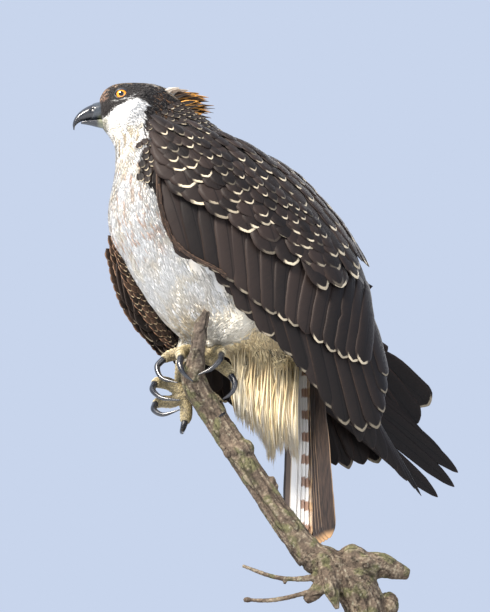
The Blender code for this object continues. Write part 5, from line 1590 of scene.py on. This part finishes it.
TAIL_TWIST = math.radians(22.0)
TAIL_ROOT = np.array((79.0, 0.0, 346.0))
TAIL_END = np.array((79.5, 0.0, 167.0))
# Layers of the feathers from the near side to the far side, and how thick a layer is
TAIL_RANKS = np.array((6, 5, 4, 3, 2, 0, 1, 3, 4, 5, 6, 7), dtype=float)
TAIL_STEP = 0.98
TAIL_MIDDLE = 3.4
TAIL_SPACING = (3.0, 5.4)
TAIL_WIDTH = 21.0
TAIL_BOW = -1.2
# How much shorter the outer feathers are, with the square of their place: near side, far side
TAIL_ROUNDING = (0.16, 0.5)
ROOT_RISE = 14.0


def make_tail(look):
    """Tail feathers side by side and in layers, turned about the body's axis."""
    across = np.array((-math.sin(TAIL_TWIST), math.cos(TAIL_TWIST), 0.0))
    back = np.array((math.cos(TAIL_TWIST), math.sin(TAIL_TWIST), 0.0))
    vanes = Vanes("tail_feathers")
    count = len(TAIL_RANKS)
    place = np.arange(count) - 0.5 * (count - 1)
    depth = TAIL_STEP * (TAIL_MIDDLE - TAIL_RANKS)[:, None] * back
    roots, tips = (end + across * place[:, None] * spacing + depth
                   for end, spacing in zip((TAIL_ROOT, TAIL_END), TAIL_SPACING))
    tips[:, 2] += np.where(place < 0, *TAIL_ROUNDING) * place ** 2
    roots[:, 2] += ROOT_RISE
    marks = marks_for(count, 0.5, 0.5)
    marks[:, 2] = np.linspace(0.0, 1.0, count)
    add_free_vanes(vanes, "tail", roots, tips, np.tile(across, (count, 1)), TAIL_WIDTH, marks,
                   np.tile(TAIL_BOW * back, (count, 1)))
    return finish_piece(vanes.make(), look, ["tail"])


def tail_look():
    """Tail feathers by tone: dark brown, streaked, pale with bars, and the last with a dark outer web."""
    look = Look("tail_vane", 0.55, Sheen_Weight=0.1, Sheen_Roughness=0.4, Specular_IOR_Level=0.35)
    along, across = look.uv("lie")
    tone = look.marks()[2]
    grain = look.noise(look.place((1.0, 1.0, 0.12)), 700.0, 3.0)
    wave = look.math("SINE", look.plus(look.times(along, 4.4), look.times(grain, 1.6)))
    side = look.math("ABSOLUTE", across)
    bars = look.times(look.ramp(wave, 0.1, 0.5), look.ramp(tone, 0.93, 0.8, 0.0, 0.9))
    white = look.mix(bars, (0.86, 0.84, 0.8), (0.30, 0.15, 0.08))
    streaked = look.mix(look.ramp(grain, 0.4, 0.6), (0.16, 0.08, 0.045), (0.62, 0.42, 0.22))
    dark = look.mix(look.ramp(grain, 0.3, 0.7), (0.012, 0.009, 0.008), (0.05, 0.032, 0.024))
    dark = look.mix(look.ramp(side, 0.88, 0.97, 0.0, 0.45), dark, (0.42, 0.26, 0.14))
    colour = look.mix(look.ramp(tone, 0.46, 0.52), dark, streaked)
    colour = look.mix(look.ramp(tone, 0.62, 0.68), colour, white)
    outer = look.times(look.ramp(across, 0.0, 0.08), look.ramp(tone, 0.93, 0.97))
    web = look.mix(look.ramp(across, 0.62, 0.8), (0.13, 0.095, 0.075), (0.02, 0.014, 0.012))
    colour = look.mix(outer, colour, web)
    shaft = look.times(look.ramp(side, 0.08, 0.03), look.ramp(tone, 0.4, 0.6))
    colour = look.mix(shaft, colour, (0.62, 0.5, 0.36))
    colour = look.mix(look.ramp(along, 0.4, 0.9, 0.0, 0.75), colour, (0.56, 0.34, 0.17))
    look.colour(colour)
    look.bump(grain, 0.4, 0.0004)
    return look.material


# Bill

UPPER_BILL = (
    ((-151.0, 641.0), (-149.0, 621.6), 8.8),
    ((-156.0, 640.5), (-155.0, 620.6), 9.0),
    ((-162.5, 639.0), (-160.5, 619.6), 8.8),
    ((-169.0, 636.2), (-166.5, 618.6), 8.0),
    ((-176.5, 631.6), (-173.0, 617.4), 6.8),
    ((-183.0, 625.4), (-179.0, 615.9), 5.2),
    ((-187.3, 618.0), (-183.2, 613.2), 3.5),
    ((-188.6, 611.6), (-185.8, 609.4), 2.1),
    ((-187.6, 605.6), (-186.4, 605.2), 0.8),
)
LOWER_BILL = (
    ((-149.0, 620.6), (-150.0, 609.6), 7.8),
    ((-155.5, 619.6), (-156.5, 609.8), 7.4),
    ((-162.0, 618.6), (-163.0, 610.9), 6.4),
    ((-168.5, 617.5), (-169.0, 612.2), 5.2),
    ((-174.5, 616.3), (-175.0, 613.0), 3.8),
    ((-179.5, 614.8), (-179.8, 613.2), 2.0),
)
# How much the upper bill narrows towards its ridge
BILL_KEEL = 0.45
CERE_FRONT = -166.0
CERE_MIDDLE = 628.0
CERE_CURVE = 0.024
NOSTRIL = (-168.5, 627.5)
NOSTRIL_SIZE = (2.6, 1.5)
NOSTRIL_TILT = math.radians(35.0)
# Shares of the bill's thickness: the nostril's depth, the cere's swelling, and the horn's step down from it;
# NOSTRIL_SHADE is the share of painted shade that darkens the nostril
NOSTRIL_DEPTH = 0.22
NOSTRIL_SHADE = 0.85
CERE_SWELL = 0.055
HORN_SHRINK = 0.02
HORN_BLACK = np.array((0.013, 0.014, 0.018))
CERE_BLUE = np.array((0.030, 0.036, 0.044))
GAPE_SKIN = np.array((0.13, 0.135, 0.085))


def horn_look(name, roughness, coat):
    """Horn or skin coloured by its markings, with fine growth lines."""
    look = Look(name, roughness, Coat_Weight=coat, Coat_Roughness=0.12, Specular_IOR_Level=0.55)
    grain = look.noise(look.place((1.0, 1.0, 2.5)), 620.0, 4.0)
    worn = look.noise(look.place(), 160.0, 3.0)
    shade = look.times(look.ramp(grain, 0.3, 0.7, 0.8, 1.15), look.ramp(worn, 0.3, 0.7, 0.85, 1.25))
    look.colour(look.mix(1.0, look.attribute("coat"), shade, "MULTIPLY"))
    look.rough(look.ramp(worn, 0.3, 0.7, roughness - 0.06, roughness + 0.14))
    look.bump(look.plus(grain, look.times(worn, 0.5)), 0.25, 0.0003)
    return look.material


def bill_grid(sections, keel, steps=96, sides=64):
    """Rings of a bill's half from sections of top and low points (x, z) and half widths."""
    table = np.array([(*top, *low, width) for top, low, width in sections])
    tx, tz, bx, bz, width = smooth_line(table, np.linspace(0.0, 1.0, steps)).T[:, :, None]
    turns = np.linspace(0.0, 2.0 * math.pi, sides, endpoint=False)[None, :]
    c, s = np.cos(turns), np.sin(turns)
    lift = 0.5 * (1.0 + c)
    spread = width * s * np.where(c > 0, 1.0 - keel * c ** 2, 1.0)
    return np.stack((bx + (tx - bx) * lift, spread, bz + (tz - bz) * lift), axis=-1)


def nostril_share(points):
    """How deep in the nostril's slanting oval places are, from 0 to 1."""
    dx, dz = points[..., 0] - NOSTRIL[0], points[..., 2] - NOSTRIL[1]
    c, s = math.cos(NOSTRIL_TILT), math.sin(NOSTRIL_TILT)
    reach = np.hypot((c * dx + s * dz) / NOSTRIL_SIZE[0], (-s * dx + c * dz) / NOSTRIL_SIZE[1])
    return 1.0 - smooth_step(reach, 0.7, 1.15)


def make_bill(look):
    for name, sections, keel in (("bill_upper", UPPER_BILL, BILL_KEEL), ("bill_lower", LOWER_BILL, 0.0)):
        grid = bill_grid(sections, keel)
        middle = grid.mean(axis=1, keepdims=True)
        curve = CERE_FRONT - CERE_CURVE * (grid[..., 2] - CERE_MIDDLE) ** 2
        cere = smooth_step(grid[..., 0], curve - 0.5, curve + 0.7) * (name == "bill_upper")
        pit = nostril_share(grid) * (name == "bill_upper")
        gape = smooth_step(grid[..., 0], -164.0, -158.0) * smooth_step(grid[..., 2], 624.0, 620.0)
        colours = np.tile(HORN_BLACK, (*grid.shape[:2], 1))
        colours += cere[..., None] * (CERE_BLUE - colours)
        colours += gape[..., None] * (GAPE_SKIN - colours)
        # Painted shade: the nostril's hollow is darkened
        colours *= (1.0 - NOSTRIL_SHADE * pit)[..., None]
        grid = grid + (CERE_SWELL * cere - HORN_SHRINK)[..., None] * (grid - middle)
        grid[..., 1] *= 1.0 - NOSTRIL_DEPTH * pit
        obj = tubes_mesh(f"{name}_detail", [turn_head(grid)])
        ends = (colours[0].mean(axis=0), colours[-1].mean(axis=0))
        add_colour(obj, "coat", np.vstack((colours.reshape(-1, 3), *ends)))
        finish_piece(obj, look, [name])


# Eyelids

# Rows of an eyelid from the eye outward and back: added angle, radius
LID_ROWS = (
    (0.0, 8.4), (0.0, 8.8), (0.04, 9.1), (0.1, 9.25), (0.17, 9.1), (0.23, 8.95), (0.29, 9.15),
    (0.37, 9.25), (0.5, 9.1), (0.72, 8.5), (0.72, 8.0), (0.4, 8.1), (0.1, 8.3),
)
# The opening's half sizes, and how pointed its corners are
LID_HALF = {"long": 7.1, "up": 4.6, "down": 5.4}
LID_POWER = 1.65
LID_SIDES = 96
WRINKLES = 17.0
WRINKLE_DEPTH = 0.006
LID_PALE = np.array((0.36, 0.38, 0.37))


def make_lids(name, side, look):
    """Both eyelids as one closed ring round the opening."""
    centre, gaze, across, up = eye_frame(side)
    back = -side * across
    turns = np.linspace(0.0, 2.0 * math.pi, LID_SIDES, endpoint=False)
    c, s = np.cos(turns), np.sin(turns)
    high = np.where(s > 0, LID_HALF["up"], LID_HALF["down"])
    reach = (np.abs(c / LID_HALF["long"]) ** LID_POWER + np.abs(s / high) ** LID_POWER) ** (-1.0 / LID_POWER)
    radial = c[:, None] * back + s[:, None] * up
    rings, colours = [], []
    for k, (extra, radius) in enumerate(LID_ROWS):
        polar = np.arcsin(reach / LID_ROWS[1][1]) + extra
        wrinkle = 1.0 + WRINKLE_DEPTH * np.sin(WRINKLES * turns + 2.0 * k) * (3 < k < 9)
        rings.append(centre + (radius * wrinkle)[:, None] * (np.cos(polar)[:, None] * gaze
                                                           + np.sin(polar)[:, None] * radial))
        pale = smooth_step(-s, 0.1, 0.6) * (5 <= k <= 7)
        colours.append(HORN_BLACK + pale[:, None] * (LID_PALE - HORN_BLACK))
    rows = len(LID_ROWS)
    k, i = np.meshgrid(np.arange(rows), np.arange(LID_SIDES), indexing="ij")
    a, b = k * LID_SIDES + i, k * LID_SIDES + (i + 1) % LID_SIDES
    ahead = ((k + 1) % rows) * LID_SIDES
    quads = np.stack((a, b, ahead + (i + 1) % LID_SIDES, ahead + i), axis=-1).reshape(-1, 4)
    if side > 0:
        quads = quads[:, ::-1]
    obj = build_mesh(f"lids_{name}", np.vstack(rings), [quads])
    add_colour(obj, "coat", np.vstack(colours))
    finish_piece(obj, look)


# Feet and claws, in the stand's frame

TARSI = {
    "left": (((-46.5, -18.5, 368.5), (-47.5, -17.0, 360.0)), (7.5, 8.5)),
    "right": (((-59.5, 18.6, 355.4), (-60.5, 17.5, 340.0), (-60.0, 17.0, 325.0)), (6.5, 6.5, 8.0)),
}
TOES = {
    "left": (
        (((-89.0, -31.0, 359.0), (-103.0, -36.0, 361.0), (-109.0, -47.0, 356.0), (-109.0, -55.0, 349.5)),
         ((-109.0, -55.4, 349.2), (-109.5, -60.5, 340.0), (-105.0, -63.5, 330.0), (-96.0, -63.0, 322.5))),
        (((-90.0, -30.0, 358.0), (-106.0, -26.0, 362.0), (-120.0, -26.0, 359.0), (-128.0, -31.0, 353.5)),
         ((-128.4, -31.3, 353.2), (-134.5, -35.0, 344.0), (-129.0, -41.0, 331.0), (-112.0, -49.0, 324.0))),
        (((-87.0, -31.0, 359.0), (-76.0, -36.0, 360.5), (-70.0, -46.0, 358.5), (-67.5, -54.0, 353.0)),
         ((-67.4, -54.4, 352.6), (-69.0, -61.0, 344.5), (-78.0, -64.5, 335.0), (-91.0, -64.0, 329.0))),
        (((-86.0, -29.0, 357.0), (-72.0, -28.0, 350.0), (-62.0, -35.0, 341.0), (-57.5, -41.0, 334.0)),
         ((-57.3, -41.4, 333.6), (-53.5, -45.0, 324.0), (-57.0, -46.0, 314.0), (-66.0, -44.5, 308.0))),
    ),
    "right": (
        (((-110.0, -13.0, 322.0), (-122.0, -15.0, 330.0), (-132.0, -21.0, 331.0), (-137.0, -28.0, 328.0)),
         ((-137.3, -28.4, 327.8), (-138.5, -36.0, 319.0), (-128.0, -45.0, 309.0), (-109.0, -51.0, 305.5))),
        (((-109.0, -12.0, 318.0), (-120.0, -13.0, 312.0), (-130.0, -18.0, 311.0), (-136.0, -25.0, 307.0)),
         ((-136.3, -25.4, 306.8), (-137.0, -33.0, 299.0), (-127.0, -41.0, 292.5), (-110.0, -46.0, 296.5))),
        (((-107.0, -11.0, 318.0), (-105.0, -9.0, 306.0), (-105.0, -11.0, 296.0), (-106.0, -14.0, 290.0)),
         ((-106.1, -14.3, 289.7), (-107.5, -18.0, 283.0), (-108.5, -24.0, 277.5), (-107.0, -31.0, 275.0))),
        (((-103.0, -12.0, 320.0), (-90.0, -9.0, 321.0), (-78.0, -12.0, 316.0), (-70.0, -19.0, 309.0)),
         ((-69.7, -19.4, 308.7), (-66.0, -27.0, 300.0), (-65.0, -36.0, 295.0), (-70.0, -44.0, 290.0))),
    ),
}
TOE_RADII = (7.0, 6.6, 6.2, 4.6)
CLAW_RADII = (3.6, 3.1, 2.2, 0.6)
PAD_RADII = (9.5, 7.5, 8.0)
# Swellings of the toes: fraction of the way along, radius
TOE_JOINTS = ((0.42, 6.4), (0.78, 5.6))
FOOT_VOXEL = 0.75
SCUTE_LENGTH = 4.0
SCUTE_SLOPE = 0.78
SCUTE_HEIGHT = 0.8
CELL_HEIGHT = 0.5
FOOT_SINK = 0.25
CELL_SIZE = 1.9
FOOT_BASE = np.array((0.31, 0.25, 0.13))
# Painted highlight for the raised ends of the scutes on the toes' upper side
FOOT_HIGHLIGHT = np.array((0.52, 0.46, 0.31))
# Painted shade for the creases between scutes and between scales
FOOT_CREASE_SHADE = np.array((0.075, 0.060, 0.035))


def ball_grid(centre, radii, steps=14, sides=20):
    polar = np.linspace(0.12, math.pi - 0.12, steps)[:, None]
    turns = np.linspace(0.0, 2.0 * math.pi, sides, endpoint=False)[None, :]
    shape = np.stack((np.sin(polar) * np.cos(turns), np.sin(polar) * np.sin(turns),
                      np.cos(polar) * np.ones_like(turns)), axis=-1)
    return np.asarray(centre) + shape * np.asarray(radii)


# Distances along one line start this far after the last line's
LINE_GAP = 300.0


class Spines:
    """Centre lines of tubes, to find how far along and how far round one a place is."""

    def __init__(self, lines, steps=60):
        self.points, self.along, self.directions = [], [], []
        for number, line in enumerate(lines):
            points = smooth_line(line, np.linspace(0.0, 1.0, steps))
            lengths = np.concatenate(([0.0], np.cumsum(np.linalg.norm(np.diff(points, axis=0), axis=1))))
            self.points.append(points)
            self.along.append(lengths + LINE_GAP * number)
            self.directions.append(unit(np.gradient(points, axis=0)))
        self.points, self.along = np.vstack(self.points), np.concatenate(self.along)
        self.directions = np.vstack(self.directions)
        self.tree = point_tree(self.points)

    def at(self, places):
        """Distances along the lines, offsets from them and the lines' directions there."""
        found = nearest_in(self.tree, places)
        away = places - self.points[found]
        direction = self.directions[found]
        step = np.sum(away * direction, axis=1)
        return self.along[found] + step, away - step[:, None] * direction


def make_foot(name, look, branch_line):
    """Toes, pad and tarsus fused, with scutes on top and small round scales elsewhere."""
    tarsus, radii = TARSI[name]
    grids = [bird_to_stand(tube_grid(tarsus, radii, 16, 28))]
    lines = [toe for toe, _ in TOES[name]]
    grids += [tube_grid(line, TOE_RADII, 26, 24) for line in lines]
    grids.append(ball_grid(np.mean([line[0] for line in lines], axis=0), PAD_RADII))
    for line in lines:
        for fraction, size in TOE_JOINTS:
            grids.append(ball_grid(smooth_line(line, fraction)[0], (size, size, size)))
    obj = remesh(tubes_mesh(f"foot_{name}_detail", grids, False), FOOT_VOXEL, 2)
    places, normals = vertex_places(obj) / METRES, vertex_normals(obj)
    along, away = Spines(lines + [bird_to_stand(tarsus)]).at(places)
    _, outward = branch_line.at(places)
    top = smooth_step(np.sum(unit(away) * unit(outward), axis=1), -0.15, 0.35)
    phase = (along / SCUTE_LENGTH) % 1.0
    scute = np.minimum(phase / SCUTE_SLOPE, (1.0 - phase) / (1.0 - SCUTE_SLOPE))
    cells = np.zeros(len(places))
    for i, place in enumerate(places / CELL_SIZE):
        near = noise.voronoi(Vector(place))[0]
        cells[i] = near[1] - near[0]
    cell = smooth_step(cells, 0.02, 0.3)
    height = SCUTE_HEIGHT * top * scute + CELL_HEIGHT * (1.0 - top) * cell - FOOT_SINK
    set_places(obj, (places + normals * height[:, None]) * METRES)
    # Painted shade: the creases between the scutes and between the small scales are darkened
    crease_shade = top * smooth_step(scute, 0.5, 0.05) + (1.0 - top) * (1.0 - cell)
    # Painted highlight: the raised end of each scute on the toes' upper side is paler
    colours = FOOT_BASE + (0.75 * top * smooth_step(scute, 0.2, 0.9))[:, None] * (FOOT_HIGHLIGHT - FOOT_BASE)
    colours = colours * (0.8 + 0.4 * patchy(places, 6.0, 2.0))[:, None]
    colours = blend(colours, FOOT_CREASE_SHADE, 0.9 * crease_shade)
    add_colour(obj, "coat", colours)
    finish_piece(obj, look, [f"foot_{name}"])


def make_claws(name, look):
    for k, (_, line) in enumerate(TOES[name]):
        grid = tube_grid(line, CLAW_RADII, 40, 24)
        obj = tubes_mesh(f"claw_{name}_{k + 1}_detail", [grid], False)
        add_colour(obj, "coat", np.tile(HORN_BLACK, (len(obj.data.vertices), 1)))
        finish_piece(obj, look, [f"claw_{name}_{k + 1}"])


# Branch, in the stand's frame

BRANCH_MAIN = (
    ((-85.2, -72.0, 396.0), 6.6), ((-89.3, -66.0, 371.0), 7.4), ((-93.0, -56.0, 348.0), 9.2),
    ((-96.0, -40.0, 327.0), 13.0), ((-78.0, -31.0, 298.0), 12.8), ((-50.4, -28.0, 256.0), 13.2),
    ((-26.0, -26.0, 218.5), 12.6), ((0.4, -24.0, 180.0), 13.4), ((24.0, -22.0, 150.0), 15.5),
)
TRUNK = (((22.0, -22.0, 152.0), 15.0), ((45.0, -21.0, 140.0), 18.0), ((64.0, -18.0, 126.0), 21.0),
         ((75.0, -14.0, 108.0), 21.0), ((79.0, -12.0, 90.0), 21.0))
SIDE_STUB = (((66.0, -20.0, 140.0), 15.0), ((92.0, -21.0, 142.0), 13.0), ((108.0, -21.0, 137.0), 9.5),
             ((122.0, -20.0, 133.0), 5.5))
FLAP = (((37.0, -34.0, 138.0), 9.0), ((42.0, -37.0, 119.0), 8.0), ((48.0, -37.0, 98.0), 2.2))
SNAG = (((38.0, -28.0, 126.0), 9.0), ((26.0, -30.0, 114.0), 7.0), ((17.0, -31.0, 106.0), 4.0))
TWIGS = (
    ((32.0, -30.0, 130.0), (8.0, -33.0, 127.5), (-16.0, -34.0, 130.0), (-46.0, -35.0, 140.5)),
    ((40.0, -30.0, 124.0), (20.0, -33.0, 115.0), (-14.0, -35.0, 107.0), (-44.0, -36.0, 107.0)),
)
TWIG_RADII = (4.5, 2.6, 2.4, 1.8)
SPUR = ((-4.0, -34.0, 129.0), (-3.8, -34.5, 126.0), (-3.4, -35.0, 122.5))
SPUR_RADII = (2.4, 2.2, 1.6)
# Knots and lumps: place, radii
KNOTS = (
    ((-50.0, -29.0, 258.0), (16.5, 15.5, 12.0)), ((36.0, -24.0, 147.0), (17.0, 16.0, 12.0)),
    ((66.0, -22.0, 149.0), (16.0, 16.0, 14.0)), ((86.0, -22.0, 143.0), (13.0, 14.0, 12.0)),
    ((102.0, -15.0, 103.0), (9.5, 9.5, 13.5)), ((-59.0, -31.0, 254.0), (6.5, 8.0, 6.0)),
    ((-42.0, -27.0, 264.0), (6.0, 9.0, 4.5)), ((-15.5, -27.0, 226.5), (4.5, 5.0, 5.5)),
    ((-12.5, -26.0, 221.0), (3.6, 4.0, 4.5)), ((67.0, -22.0, 157.0), (8.0, 9.0, 6.5)),
    ((47.0, -32.0, 143.0), (8.0, 8.0, 6.0)), ((95.0, -22.0, 148.0), (8.0, 9.0, 6.5)),
    ((78.0, -33.0, 144.0), (9.0, 7.0, 7.0)), ((-41.0, -36.0, 107.0), (4.2, 3.2, 3.0)),
    ((110.0, -24.0, 140.0), (6.5, 7.0, 5.0)), ((56.0, -34.0, 131.0), (9.0, 6.0, 8.0)),
)
BRANCH_VOXEL = 1.25
FIBRE_HEIGHT = 1.5
LUMP_HEIGHT = 2.4
CRACK_DEPTH = 0.9
GRAIN_HEIGHT = 0.7
FOOT_CUT = 91.6
# The broken upper end: x, height there and slope; a spike's x, height and width; and how far back it reaches
TOP_BREAK = (-96.7, 382.7, 0.62)
TOP_SPIKE = (-85.0, 5.5, 2.4)
TOP_END = -70.0
BARK_BROWN = np.array((0.105, 0.078, 0.056))
BARK_PALE = np.array((0.23, 0.19, 0.135))
BARK_GREEN = np.array((0.105, 0.115, 0.045))
BARK_RED = np.array((0.088, 0.069, 0.055))
# Painted shade for the bark's cracks
BARK_CRACK_SHADE = np.array((0.018, 0.013, 0.009))


# Its tapering parts, each with the counts of rings and sides
BRANCH_PARTS = ((BRANCH_MAIN, 70, 28), (TRUNK, 26, 36), (SIDE_STUB, 20, 24), (FLAP, 16, 20), (SNAG, 12, 18))


def make_branch(look, spines):
    """The branch's parts and knots fused, with fibres, cracks and lumps, and broken off at the top."""
    grids = [tube_grid(*zip(*stations), rings, sides) for stations, rings, sides in BRANCH_PARTS]
    grids.append(tube_grid(SPUR, SPUR_RADII, 8, 12))
    grids += [tube_grid(points, TWIG_RADII, 40, 14) for points in TWIGS]
    grids += [ball_grid(place, radii) for place, radii in KNOTS]
    obj = remesh(tubes_mesh("branch_bark", grids, False), BRANCH_VOXEL, 2)
    places, normals = vertex_places(obj) / METRES, vertex_normals(obj)
    along, away = spines.at(places)
    radius = np.linalg.norm(away, axis=1)
    stretched = np.column_stack((along / 26.0, away[:, 0] / 3.4, (away[:, 1] + away[:, 2]) / 3.4))
    fibre = patchy(stretched, 1.0, 4.0)
    crack = np.abs(patchy(stretched * (0.7, 0.6, 0.6), 1.0, 31.0) - 0.5)
    lump = patchy(places, 11.0, 9.0)
    fine = patchy(places, 2.4, 17.0)
    strength = smooth_step(radius, 1.5, 8.0)
    crack_here = smooth_step(crack, 0.055, 0.0) * strength
    height = FIBRE_HEIGHT * (fibre - 0.5) + LUMP_HEIGHT * (lump - 0.5) - CRACK_DEPTH * crack_here
    height = strength * height + GRAIN_HEIGHT * (fine - 0.5)
    moved = places + normals * height[:, None]
    limit = TOP_BREAK[1] + (moved[:, 0] - TOP_BREAK[0]) * TOP_BREAK[2] + 1.6 * (fine - 0.5)
    limit += TOP_SPIKE[1] * np.exp(-((moved[:, 0] - TOP_SPIKE[0]) / TOP_SPIKE[2]) ** 2)
    at_top = moved[:, 0] < TOP_END
    broken = smooth_step(moved[:, 2] - limit, -0.6, 0.4) * at_top
    moved[:, 2] = np.where(at_top, np.minimum(moved[:, 2], limit), moved[:, 2])
    moved[:, 2] = np.maximum(moved[:, 2], FOOT_CUT)
    set_places(obj, moved * METRES)
    colours = np.tile(BARK_BROWN, (len(places), 1)) * (0.65 + 0.8 * fibre)[:, None]
    colours = blend(colours, BARK_GREEN, 0.55 * smooth_step(lump, 0.5, 0.66))
    colours = blend(colours, BARK_PALE, 0.8 * smooth_step(fine * 0.5 + fibre * 0.5, 0.54, 0.64))
    reddish = 0.75 * smooth_step(places[:, 2], 335.0, 352.0)
    colours = blend(colours, BARK_RED * (0.7 + 0.6 * fine)[:, None], reddish)
    # Painted shade: the cracks are darkened
    colours = blend(colours, BARK_CRACK_SHADE, 0.85 * crack_here)
    colours = blend(colours, BARK_PALE * 1.5, broken)
    add_colour(obj, "coat", np.clip(colours, 0.0, 1.0))
    finish_piece(obj, look, ["perch_branch"])


def bark_look():
    look = Look("bark", 0.85, Specular_IOR_Level=0.25)
    fine = look.noise(look.place(), 420.0, 6.0, 0.7)
    spots = look.noise(look.place(), 130.0, 4.0, 0.65)
    shade = look.times(look.ramp(fine, 0.25, 0.75, 0.5, 1.5), look.ramp(spots, 0.3, 0.7, 0.75, 1.3))
    base = look.mix(1.0, look.attribute("coat"), shade, "MULTIPLY")
    lichen = look.ramp(look.noise(look.place(), 210.0), 0.62, 0.7, 0.0, 0.5)
    look.colour(look.mix(lichen, base, (0.30, 0.30, 0.22)))
    look.rough(look.ramp(fine, 0.3, 0.7, 0.75, 0.95))
    look.bump(look.plus(fine, look.times(spots, 0.6)), 0.9, 0.0011)
    return look.material


# Stand

def dress_stand():
    wood = Look("stand_wood", 0.34, Coat_Weight=0.35, Coat_Roughness=0.2)
    wide = wood.noise(wood.place((1.2, 9.0, 9.0)), 9.0, 5.0, 0.6, 0.6)
    pores = wood.noise(wood.place((6.0, 130.0, 130.0)), 6.0, 4.0, 0.65)
    grain = wood.plus(wood.times(wide, 0.7), wood.times(pores, 0.35))
    wood.colour(wood.mix(wood.ramp(grain, 0.35, 0.7), (0.035, 0.018, 0.010), (0.13, 0.066, 0.034)))
    wood.rough(wood.ramp(pores, 0.3, 0.7, 0.28, 0.46))
    wood.bump(pores, 0.2, 0.0003)
    steel = Look("stand_steel", 0.3, Metallic=1.0)
    brushed = steel.noise(steel.place((40.0, 40.0, 900.0)), 1.0, 4.0)
    steel.colour(steel.mix(brushed, (0.36, 0.36, 0.37), (0.52, 0.52, 0.53)))
    steel.rough(steel.ramp(brushed, 0.3, 0.7, 0.22, 0.42))
    steel.bump(brushed, 0.15, 0.0001)
    for name, look in (("stand_base", wood), ("stand_rod", steel)):
        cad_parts[name].material_slots[0].material = look.material


# Vanes' looks: dark and light webs, rim, tip, roughness, and where the rim starts
VANE_LOOKS = {
    "wing_vane": ((0.005, 0.0034, 0.0032), (0.025, 0.0165, 0.0138), (0.085, 0.05, 0.033), (0.66, 0.56, 0.40),
                  0.55, 0.8),
    "edge_vane": ((0.010, 0.007, 0.006), (0.062, 0.038, 0.026), (0.22, 0.125, 0.075), (0.72, 0.58, 0.38),
                  0.6, 0.72),
    "crest_vane": ((0.008, 0.005, 0.004), (0.035, 0.02, 0.013), (0.52, 0.25, 0.055), (0.7, 0.4, 0.1),
                   0.6, 0.5),
    "pale_vane": ((0.16, 0.12, 0.09), (0.62, 0.57, 0.5), (0.8, 0.78, 0.72), (0.85, 0.8, 0.7), 0.6, 0.72),
}
SKIN_NODES = ["head", "neck", "torso", "thigh_left", "thigh_right", "undertail_coverts"]

make_camera()
make_lights()
make_floor()
plumage = plumage_look()
wing_look, edge_look, crest_look, pale_look = (vane_look(name, *row) for name, row in VANE_LOOKS.items())
for side_name in SIDES:
    make_wing(side_name, wing_look, plumage, edge_look)
skin = make_skin()
finish_piece(skin, plumage, SKIN_NODES)
trees = wing_trees()
surface, flow = make_coat(skin, trees)
make_mantle(surface, flow, trees, wing_look)
make_crest(crest_look, pale_look)
make_tail(tail_look())
eye = eye_look()
horn = horn_look("horn", 0.24, 0.4)
lid_skin = horn_look("lid_skin", 0.45, 0.1)
foot_skin = horn_look("foot_skin", 0.55, 0.0)
make_bill(horn)
branch_spines = Spines([[place for place, _ in stations] for stations, *_ in BRANCH_PARTS] + list(TWIGS))
for side_name, side_sign in SIDES.items():
    make_eye(f"eye_{side_name}", side_sign, eye)
    make_lids(side_name, side_sign, lid_skin)
    make_foot(side_name, foot_skin, branch_spines)
    make_claws(side_name, horn)
make_branch(bark_look(), branch_spines)
dress_stand()
